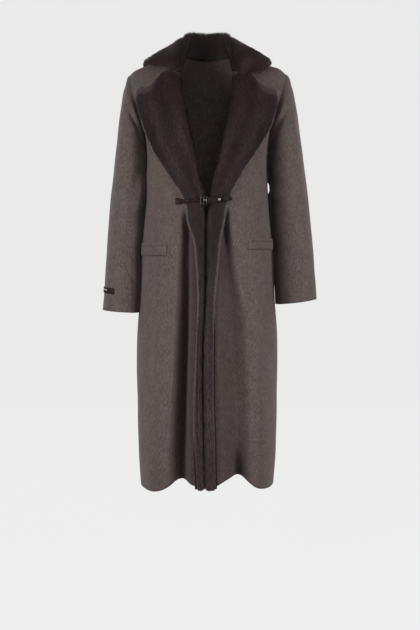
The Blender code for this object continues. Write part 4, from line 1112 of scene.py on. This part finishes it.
pile = {
    "collar": {"hairs": 62000, "length": 0.0125, "width": 0.00085, "core": 0.50, "seed": 71,
               "tone": 0.50, "stripe": 0.13, "stripes": 2.2, "mottle": 0.20},
    "lapel": {"hairs": 26000, "length": 0.0105, "width": 0.00080, "core": 0.55, "seed": 50, "inset": 0.004,
              "tone": 0.42, "stripe": 0.17, "stripes": 3.1, "mottle": 0.10},
    "band": {"hairs": 25000, "length": 0.0075, "width": 0.00105, "core": 0.50, "seed": 60, "inset": 0.006,
             "tone": 0.29, "faded": 0.58, "joint": 0.24, "mottle": 0.12, "fleck": 0.16},
    "rootSunk": 0.001, "steep": 0.62, "flat": 0.20, "lengths": (0.72, 1.15), "widths": (0.7, 1.2),
    "sweep": (0.38, 0.011), "drift": (0.30, 0.034), "longer": (0.12, 0.016), "lifted": (0.20, 0.009),  # waves
    "headingEach": 0.16, "liftEach": 0.08, "rollEach": 0.25, "facing": (0.88, 0.12),
    "peltRound": (0.004, 0.15), "returned": 0.015, "bandDrop": 0.004, "seamGap": 0.0003,
    "fadeOver": {-1: 0.55, 1: 0.30}, "upperFade": {-1: 0.72, 1: 0.50},  # how the bands pale downward
}


def givePile(obj, along, random, tone):  # what the fur's finish reads
    colors = np.ones((len(obj.data.vertices), 4), np.float32)
    colors[:, 0], colors[:, 1], colors[:, 2] = along, random, tone
    obj.data.color_attributes.new("pile", "FLOAT_COLOR", "POINT").data.foreach_set("color", colors.ravel())


# Soft hairs over a grid: each is a short curved blade, its root in the pelt
def makePile(name, look, seed, skin, normal, grain, tone, scale, weight=None):
    hairs, dice = look["hairs"], np.random.default_rng(seed)
    cross = np.cross(skin[1:, 1:] - skin[:-1, :-1], skin[:-1, 1:] - skin[1:, :-1])
    chance = np.linalg.norm(cross, axis=-1)
    if weight is not None:
        chance = chance * (weight[1:, 1:] + weight[:-1, :-1]) / 2
    heap = np.cumsum(chance.ravel())
    cell = np.searchsorted(heap, dice.random(hairs) * heap[-1])
    row, column = np.divmod(np.clip(cell, 0, chance.size - 1), chance.shape[1])
    i, j = row + dice.random(hairs), column + dice.random(hairs)
    place, up, lie = pick(skin, i, j), unit(pick(normal, i, j)), pick(grain, i, j)
    lie = unit(lie - (lie * up).sum(axis=-1, keepdims=True) * up)

    def waving(kind, number):
        height, size = pile[kind]
        return height * waves(place, size, seed + number)

    heading = (waving("sweep", 1) + waving("drift", 2) + dice.normal(0, pile["headingEach"], hairs))[:, None]
    lie = lie * np.cos(heading) + np.cross(lie, up) * np.sin(heading)
    long = look["length"] * dice.uniform(*pile["lengths"], hairs) * (1 + waving("longer", 3))
    long = (long * pick(scale, i, j))[:, None]
    lift = (1 + waving("lifted", 4) + dice.normal(0, pile["liftEach"], hairs))[:, None]
    first, second = (lie * np.cos(pile[kind] * lift) + up * np.sin(pile[kind] * lift)
                     for kind in ("steep", "flat"))
    root = place - up * pile["rootSunk"]
    middle = root + first * (0.5 * long)
    tip = middle + second * (0.5 * long)
    roll = dice.normal(0, pile["rollEach"], hairs)[:, None]
    wide = unit(np.cross(lie, up)) * np.cos(roll) + up * np.sin(roll)
    wide = wide * (look["width"] * dice.uniform(*pile["widths"], hairs) / 2)[:, None]
    points = np.stack([root - wide, root + wide, middle - 0.75 * wide, middle + 0.75 * wide, tip], axis=1)
    faces = np.array([(0, 1, 3), (0, 3, 2), (2, 3, 4)])[None] + 5 * np.arange(hairs)[:, None, None]
    obj = newObject(name, points.reshape(-1, 3), faces.reshape(-1, 3), furFinish)
    along = np.tile((0.0, 0.0, 0.55, 0.55, 1.0), hairs)
    givePile(obj, along, np.repeat(dice.random(hairs), 5), np.repeat(np.clip(pick(tone, i, j), 0, 1), 5))
    upward, ahead = pile["facing"]
    facing = unit(upward * up + ahead * np.cross(wide, second) / (look["width"] / 2))
    obj.data.normals_split_custom_set_from_vertices(np.repeat(facing, 5, axis=0).tolist())

    # each hair has its own small place on the map
    perRow, number = math.ceil(math.sqrt(hairs)), np.arange(hairs)
    corners = np.array([(0.2, 0.1), (0.8, 0.1), (0.25, 0.5), (0.75, 0.5), (0.5, 0.9)])
    places = (np.stack([number % perRow, number // perRow], axis=-1)[:, None] + corners) / perRow
    layer = obj.data.uv_layers.new(name="OFBake")
    layer.uv.foreach_set("vector", places.reshape(-1, 2)[faces.ravel()].astype(np.float32).ravel())
    mount(obj, "fur")


def makePelt(name, node, under, wall, share, flip):
    normal = normalsOf(under) * (-1 if flip else 1)
    over = under + normal * (wall * share * roundOff(under, *pile["peltRound"]))[..., None]
    pelt = closedForm(name, under, over, furFinish, flip)
    givePile(pelt, 0.25, 0.5, 0.25)
    mount(pelt, "fur", node)
    return over, normal


def stripesOf(look, share):
    return look["tone"] + look["stripe"] * np.sin(2 * math.pi * look["stripes"] * share)


def faceFur(side, part, edge, levels):
    look, start = pile[part], levelOf(coat["closure"])
    exact = frontSurface(side, np.array([start]), np.array([1.0]))[:, 0]
    if part == "band":
        rows = np.vstack([edge[levels <= start], exact])
        drop, top = pile["bandDrop"] * (1 - ease((rows[:, 2] - rows[0, 2]) / 0.012)), 0
    else:
        rows = np.vstack([exact, edge[(levels >= start) & (levels <= coat["gorgeLevel"] + 1e-6)]])
        drop, top = 0, front["topRim"] * ease((rows[:, 2] + 0.115) / 0.095)
    distance, places = coat["woolWall"] + coat["layGap"], np.linspace(0, 1, front["turnedPlaces"])
    returned = np.linspace(pile["returned"], 0.002, 6)
    under = turned(turnbackRows(side, rows, distance, places, look["inset"], returned, drop, top), side)
    if part == "band":
        under[-1, :, 2] -= pile["seamGap"]
        low = under[..., 2]
        core = look["core"] + (0.35 * ease((-0.362 - low) / 0.03) + 0.13 * ease((-0.85 - low) / 0.15))
    else:
        under[0, :, 2] += pile["seamGap"]
        core = look["core"]
    name, node = sideName(side) + part.capitalize(), f"{sideName(side)}_{part}_fur"
    over, normal = makePelt(name + "Pelt", node, under, coat["furWall"], core, side > 0)
    grain, out, height = -np.gradient(over, axis=0), reachFrom(over, 1), over[..., 2]
    tips = np.clip(reachFrom(over, 1, True) / 0.010, 0.35, 1) * np.clip(out / 0.008, 0.4, 1)
    if part == "lapel":
        size = np.linalg.norm(grain, axis=-1, keepdims=True)
        grain = grain + 0.25 * unit(np.gradient(over, axis=1)) * size
        share = out / out[:, -1:]
        tone = stripesOf(look, share + 0.1 / look["stripes"])
        tone = tone + look["mottle"] * waves(over, 0.05, 41 + side, 0.25)
        tone = tone * (0.75 + 0.25 * ease(share / 0.3)) * (1 - 0.16 * ease((height + 0.14) / 0.08))
    else:
        fade = ease((-0.46 - height) / pile["fadeOver"][side])
        fade = np.maximum(fade, pile["upperFade"][side] * bell(height + 0.600, 0.075))
        fleck = waves(over, 0.013, 47 + side, 0.45) * ease((height + 0.56) / 0.10)
        tone = look["tone"] + look["faded"] * fade - look["joint"] * bell(height + 0.466, 0.014)
        tone = tone + look["mottle"] * waves(over, 0.04, 43 + side, 0.3) + look["fleck"] * fleck
        tips = tips * (1 - 0.55 * bell(height + 0.452, 0.003))  # joint between two pelts
        tips = tips * np.clip(reachFrom(over, 0) / 0.012, 0.3, 1)
    tips = tips * (1 - 0.55 * np.exp(-((height + 0.3485) / 0.0105)**4))  # pressed down under the strap
    makePile(name + "Pile", look, look["seed"] + side, over, normal, unit(grain), tone, tips)


for side, (edge, levels) in fronts.items():
    for part in ("lapel", "band"):
        faceFur(side, part, edge, levels)
print("lapel and band fur ready")


collar = {
    "rows": table(
        "place neckX neckY neckZ apexX apexY apexZ turn lean edgeX edgeY edgeZ",
        (0.00, 0.0000, 0.0650, 0.0445, 0.0000, 0.0830, 0.1062, 90, 0, 0.0000, 0.1180, 0.0080),
        (0.25, 0.0360, 0.0555, 0.0460, 0.0340, 0.0780, 0.1085, 62, 0, 0.0720, 0.1120, 0.0060),
        (0.50, 0.0660, 0.0290, 0.0470, 0.0535, 0.0500, 0.0990, 26, 0, 0.1430, 0.0680, 0.0080),
        (0.68, 0.0738, 0.0030, 0.0480, 0.0545, 0.0170, 0.0730, 0, 16, 0.1650, 0.0160, 0.0160),
        (0.84, 0.0736, -0.0235, 0.0378, 0.0605, -0.0200, 0.0420, -35, 45, 0.1650, -0.0200, 0.0130),
        (0.93, 0.0738, -0.0430, 0.0116, 0.0665, -0.0450, 0.0130, -65, 70, 0.1620, -0.0400, 0.0000),
        (1.00, 0.0745, -0.0550, -0.0125, 0.0695, -0.0610, -0.0110, -82, 84, 0.1520, -0.0520, -0.0150),
    ),
    "places": (0.04, 0.14, 0.25, 0.36, 0.47, 0.58, 0.68, 0.77, 0.85, 0.92, 0.97, 1),
    "columns": 46, "roll": 0.004, "crown": 0.012,
    "fallSteps": 18, "standSteps": 5, "turnSteps": 8,
    "shift": {  # of the outer edge on each side, by place along the collar
        -1: table("place x y z", (0.3, 0.0, 0.0, 0.0), (0.5, 0.0, 0.0, -0.004), (0.68, 0.0, 0.0, -0.005),
                  (0.84, 0.0, 0.0, 0.001), (0.93, -0.002, -0.002, 0.007), (1.0, -0.0194, -0.006, 0.018)),
        1: table("place x y z", (0.3, 0.0, 0.0, 0.0), (0.5, 0.004, 0.0, 0.003), (0.68, 0.002, 0.0, 0.003),
                 (0.84, 0.0, -0.002, 0.003), (0.93, -0.007, -0.010, -0.003), (1.0, -0.018, -0.022, -0.007)),
    },
    "sag": {-1: 0.007, 1: 0.011},
}


def collarRow(place, side):
    values = [float(read(collar["rows"], name, place)) for name in collar["rows"].dtype.names[1:]]
    neck, apex, (turn, lean), edge = np.split(np.array(values), (3, 6, 8))
    turn, lean = math.radians(turn), math.radians(lean)
    up = np.array([-math.sin(lean), 0, math.cos(lean)])
    facing = np.array([math.cos(turn), math.sin(turn), 0.0])
    facing = unit(facing - (facing @ up) * up)
    centre = apex - up * collar["roll"]
    foot = centre - facing * collar["roll"]
    points = [neck + (foot - neck) * share for share in np.linspace(-0.12, 1, collar["standSteps"] + 2)[:-1]]
    for angle in math.pi * np.arange(collar["turnSteps"] + 1) / collar["turnSteps"]:
        points.append(centre + collar["roll"] * (up * math.sin(angle) - facing * math.cos(angle)))
    start, shift = points[-1], collar["shift"][side]
    edge = edge + np.array([np.interp(place, shift["place"], shift[axis]) for axis in "xyz"])
    crown = collar["crown"] * unit(facing + np.array([0, 0, 1 - ease((place - 0.86) / 0.12)]))
    sag = collar["sag"][side] * ease((place - 0.90) / 0.10)
    for along in np.linspace(0, 1, collar["fallSteps"] + 1)[1:]:
        low = np.array([0, 0, sag * bell(along - 0.32, 0.22)])
        points.append(start + (edge - start) * along + crown * math.sin(math.pi * along**0.72) - low)
    return np.array(points)


def makeCollar():
    look, places = pile["collar"], np.append([0.0, 0.02], spread(collar["places"], collar["columns"]))
    right, left = (np.array([collarRow(place, side) for place in places]) for side in (-1, 1))
    under = np.concatenate([turned(right, -1)[:0:-1], left])
    over, normal = makePelt("collarPelt", "fur_collar", under, coat["collarWall"], look["core"], False)
    grain = unit(np.gradient(over, axis=1)) \
        + 0.25 * unit(np.gradient(over, axis=0)) * np.clip(over[..., :1] / 0.05, -1, 1)
    down = reachFrom(over, 1)
    fall = down / down[:, -1:]
    tone = stripesOf(look, fall + 0.15 / look["stripes"]) + look["mottle"] * waves(over, 0.045, 61)
    # painted shade on the lower part of the collar's left half, away from the key lamp
    tone = tone - 0.10 * ease(over[..., 0] / 0.15) * ease((fall - 0.4) / 0.4)
    tone = tone * (0.55 + 0.45 * ease((fall - 0.30) / 0.12))  # the stand lies in shade
    tips = np.clip(down / 0.010, 0.4, 1) * np.clip(fromBorders(over, 0) / 0.006, 0.5, 1)
    tips = tips * np.clip(reachFrom(over, 1, True) / 0.016, 0.45, 1)
    tips = tips * (1 - 0.35 * (1 - ease((fall - 0.22) / 0.14)))
    weight = 0.55 + 0.45 * ease((fall - 0.25) / 0.1)
    makePile("collarPile", look, look["seed"], over, normal, unit(grain), tone, tips, weight)


makeCollar()
print("collar fur ready")


welts = {
    "rows": table(
        "side innerX outerX low high",
        (-1, 0.102, 0.169, -0.488, -0.455),
        (1, 0.104, 0.169, -0.472, -0.443),
    ),
    "thick": 0.0044, "lift": 0.0012, "round": (0.0035, 0.3),
    "line": (0.0006, 0.0045, 0.0012),  # depth, distance below the top edge, width
}


def makeWelt(row):
    side = int(row["side"])
    height = np.linspace(row["low"], row["high"], 15)[:, None]
    share = np.linspace(0, 1, 34)[None, :]
    point, normal = frontAt(side, row["outerX"] + (row["innerX"] - row["outerX"]) * share**1.7, height)
    under = point + normal * welts["lift"]
    low, inner, top = reachFrom(under, 0), reachFrom(under, 1, True), reachFrom(under, 0, True)
    depth, below, width = welts["line"]
    pressed = depth * bell(top - below, width)
    over = under + normal * (welts["thick"] * roundOff(under, *welts["round"]) - pressed)[..., None]
    name = sideName(side)
    obj = closedForm(name + "PocketWelt", turned(under, side), turned(over, side), woolFinish, side < 0)
    # painted highlight along the top and inner edges, painted shadow lines along the bottom and just below
    # the top
    light = bell(top, 0.0035) + 0.8 * bell(inner - 0.003, 0.0022)
    dark = np.maximum(bell(low, 0.0024), 0.6 * bell(top - 0.0075, 0.0018))
    giveValues(obj, "rim", np.tile((light * (1 - dark) - 1.2 * dark).ravel(), 2))
    mount(obj, "wool", name + "_pocket_welt")


for row in welts["rows"]:
    makeWelt(row)
print("welts ready")


closure = {
    "straps": {  # rows: place along the strap, its lower and upper edge, and its height over the front
        "strapPatch": {"node": "strap_patch", "thick": 0.0024, "rows": table(
            "x low high lift",
            (-0.0800, -0.3575, -0.3410, 0.0010), (-0.0770, -0.3578, -0.3408, 0.0010),
            (-0.0700, -0.3575, -0.3425, 0.0010), (-0.0632, -0.3565, -0.3445, 0.0010))},
        "strapTail": {"node": "strap_tail", "thick": 0.0020, "stitched": False, "rows": table(
            "x low high lift",
            (-0.0700, -0.3545, -0.3455, 0.0040), (-0.0610, -0.3555, -0.3450, 0.0085),
            (-0.0540, -0.3545, -0.3455, 0.0155), (-0.0450, -0.3525, -0.3458, 0.0178),
            (-0.0360, -0.3512, -0.3450, 0.0172), (-0.0260, -0.3515, -0.3450, 0.0156),
            (-0.0170, -0.3525, -0.3455, 0.0160), (-0.0095, -0.3525, -0.3455, 0.0168))},
        "buckleStrap": {"node": "buckle_strap", "thick": 0.0024, "rows": table(
            "x low high lift",
            (-0.0010, -0.3570, -0.3400, 0.0171), (0.0080, -0.3570, -0.3400, 0.0171),
            (0.0180, -0.3560, -0.3395, 0.0171), (0.0280, -0.3545, -0.3385, 0.0171),
            (0.0350, -0.3530, -0.3380, 0.0172), (0.0390, -0.3500, -0.3400, 0.0172))},
        "strapPoint": {"node": "strap_point", "thick": 0.0024, "rows": table(
            "x low high lift",
            (0.0410, -0.3495, -0.3345, 0.0168), (0.0450, -0.3505, -0.3320, 0.0165),
            (0.0530, -0.3500, -0.3340, 0.0140), (0.0590, -0.3480, -0.3375, 0.0075),
            (0.0640, -0.3460, -0.3425, 0.0015))},
    },
    "along": 40, "across": 11, "near": 0.020, "round": (0.0016, 0.35),
    "stitch": 0.0030, "stitchIn": 0.0022, "thread": 0.00032, "groove": (0.00035, 0.0005),  # depth and width
    "buckleAt": (-0.0085, -0.3485), "buckleLift": 0.0212, "buckleSize": (0.0170, 0.0290),
    "buckleCorner": 0.0055,
    "frame": (0.0028, 0.0024), "bar": (0.0022, 0.0020), "pin": (0.0018, 0.0016),  # width and depth
    "studAt": (0.0318, -0.3460), "studLift": 0.0213, "studRadius": 0.0028,
    "studProfile": ((1.0, -0.0012), (1.0, 0.0002), (0.94, 0.0006), (0.80, 0.0005), (0.70, 0.0003),
                    (0.62, 0.0006), (0.50, 0.0010), (0.32, 0.0013), (0.12, 0.00142)),
}
outward = np.array([0, -1.0, 0])


def makeStrap(name, node, thick, rows, stitched=True):
    x = np.linspace(rows["x"][0], rows["x"][-1], closure["along"])
    low, high, lift = (np.interp(x, rows["x"], rows[column])[:, None] for column in ("low", "high", "lift"))
    height = low + (high - low) * np.linspace(0, 1, closure["across"])
    near = np.empty(height.shape)
    for side in (-1, 1):
        mine = (x < 0) if side < 0 else (x >= 0)
        if mine.any():
            at = np.maximum(np.abs(x[mine]), closure["near"])[:, None]
            near[mine] = frontAt(side, at, height[mine])[0][..., 1]
    under = np.stack([np.broadcast_to(x[:, None], height.shape), near - lift, height], axis=-1)
    depth, width = closure["groove"]
    groove = depth * bell(fromBorders(under, 1) - closure["stitchIn"], width) if stitched else 0
    over = under + outward * (thick * roundOff(under, *closure["round"]) - groove)[..., None]
    mount(closedForm(name, under, over, leatherFinish), "leather", node)
    if stitched:
        addStitches(name + "Stitches", over)


def addStitches(name, over):
    points, faces = [], []
    for end in (False, True):
        inward = np.abs(reachFrom(over, 1, end) - closure["stitchIn"])
        line = over[np.arange(len(over)), inward.argmin(axis=1)]
        far = reachFrom(line, 0)
        for start in np.arange(0.002, far[-1] - 0.003, closure["stitch"]):
            first, last = (np.array([np.interp(at, far, axis) for axis in line.T])
                           for at in (start, start + 0.7 * closure["stitch"]))
            across = np.cross(unit(last - first), outward)
            faces += (len(points) + gridFaces(4, 5)).tolist()
            for part, size in ((0.0, 0.35), (0.25, 1.0), (0.75, 1.0), (1.0, 0.35)):
                middle, radius = first + (last - first) * part, closure["thread"] * size
                points += [middle + radius * (across * math.cos(turn) + outward * math.sin(turn))
                           for turn in np.linspace(0, math.pi, 5)]
    mount(newObject(name, points, faces, threadFinish), "leather")


# Rings of points joined into a loop, or closed at both ends
def ringForm(rings, loop=False):
    count, sides = rings.shape[:2]
    faces = (gridFaces(count + loop, sides, tube=True) % (count * sides)).tolist()
    if not loop:
        faces += [list(range(sides)), list(range((count - 1) * sides, count * sides))[::-1]]
    return rings.reshape(-1, 3), faces


def tubeRings(path, size, loop=False):
    path = np.asarray(path, float)
    along = np.roll(path, -1, axis=0) - np.roll(path, 1, axis=0) if loop else np.gradient(path, axis=0)
    across = unit(np.cross(unit(along), outward))[:, None]
    turn = np.linspace(0, 2 * math.pi, 10, endpoint=False)[None, :, None]
    return path[:, None] + size[0] / 2 * np.cos(turn) * across + size[1] / 2 * np.sin(turn) * outward


def overFront(side, x, at, lift):
    return np.array([at[0], frontAt(side, x, at[1])[0][1] - lift, at[1]])


def makeBuckle():
    width, tall = closure["buckleSize"]
    half = closure["frame"][0] / 2
    corner = closure["buckleCorner"] - half
    outline = []
    for quarter, (signX, signZ) in enumerate(((1, 1), (-1, 1), (-1, -1), (1, -1))):
        for angle in math.pi / 2 * (quarter + np.arange(9) / 8):
            outline.append((signX * (width / 2 - half - corner) + corner * math.cos(angle), 0,
                            signZ * (tall / 2 - half - corner) + corner * math.sin(angle)))
    bar = [(0, 0, z) for z in np.linspace(-tall / 2 + half, tall / 2 - half, 9)]
    pin = [(x, -0.0012 + 0.0010 * (x / 0.009)**2, 0.0004) for x in np.linspace(-0.0004, 0.0082, 9)]
    centre = overFront(-1, closure["near"], closure["buckleAt"], closure["buckleLift"])
    points, faces = ringForm(tubeRings(outline, closure["frame"], True), True)
    barPoints, barFaces = ringForm(tubeRings(bar, closure["bar"]))
    faces += [[len(points) + corner for corner in face] for face in barFaces]
    points = np.vstack([points, barPoints]) + centre
    mount(newObject("buckleFrame", points, faces, darkMetal), "metal", "buckle")
    points, faces = ringForm(tubeRings(pin, closure["pin"]))
    mount(newObject("bucklePin", points + centre, faces, paleMetal), "metal")


def makeStud():
    centre = overFront(1, closure["studAt"][0], closure["studAt"], closure["studLift"])
    radius, turns = closure["studRadius"], np.linspace(0, 2 * math.pi, 24, endpoint=False)
    rings = [[(radius * size * math.cos(turn), -rise, -radius * size * math.sin(turn)) for turn in turns]
             for size, rise in closure["studProfile"]]
    points, faces = ringForm(np.array(rings))
    mount(newObject("strapStud", points + centre, faces, paleMetal), "metal", "strap_stud")


for name, strap in closure["straps"].items():
    makeStrap(name, **strap)
makeBuckle()
makeStud()
print("closure ready")


cuff = {  # by turn round the sleeve and place down it
    "cuffTab": {"node": "cuff_tab", "slotName": "leather", "finish": leatherFinish, "turns": (0.294, 0.455),
                "places": (0.879, 0.910), "lift": 0.0006, "thick": 0.0022, "corner": 0.0015},
    "cuffBar": {"node": "cuff_tab_bar", "slotName": "metal", "finish": paleMetal, "turns": (0.372, 0.420),
                "places": (0.891, 0.898), "lift": 0.0030, "thick": 0.0012, "corner": 0.0008},
}


def makeCuffPiece(name, node, slotName, finish, turns, places, lift, thick, corner):
    cloth = sleeveSurface(-1, np.linspace(*places, 11), 2 * math.pi * np.linspace(*turns, 25))
    normal = normalsOf(cloth)
    normal *= -np.sign(normal[..., 1]).mean()
    under = cloth + normal * lift
    over = under + normal * (thick * roundOff(under, corner, 0.3))[..., None]
    mount(closedForm(name, turned(under, -1), turned(over, -1), finish, True), slotName, node)


for name, piece in cuff.items():
    makeCuffPiece(name, **piece)
print("cuff tab ready")


# Width and length that each piece of cloth is cut to, its area, and how it is held
cuts = {
    "backWool": (0.530, 1.170, 0.560, "hung"), "FrontWool": (0.345, 1.190, 0.334, "hung"),
    "SleeveWool": (0.510, 0.615, 0.193, "hung"), "PocketWelt": (0.115, 0.034, 0.0038, "folded"),
    "collarPelt": (0.615, 0.190, 0.084, "folded"), "LapelPelt": (0.160, 0.370, 0.045, "folded"),
    "BandPelt": (0.075, 0.760, 0.044, "folded"),
}
for kind, (width, length, area, held) in cuts.items():
    for owner in ("",) if kind in bpy.data.objects else ("right", "left"):
        piece = bpy.data.objects[owner + kind]
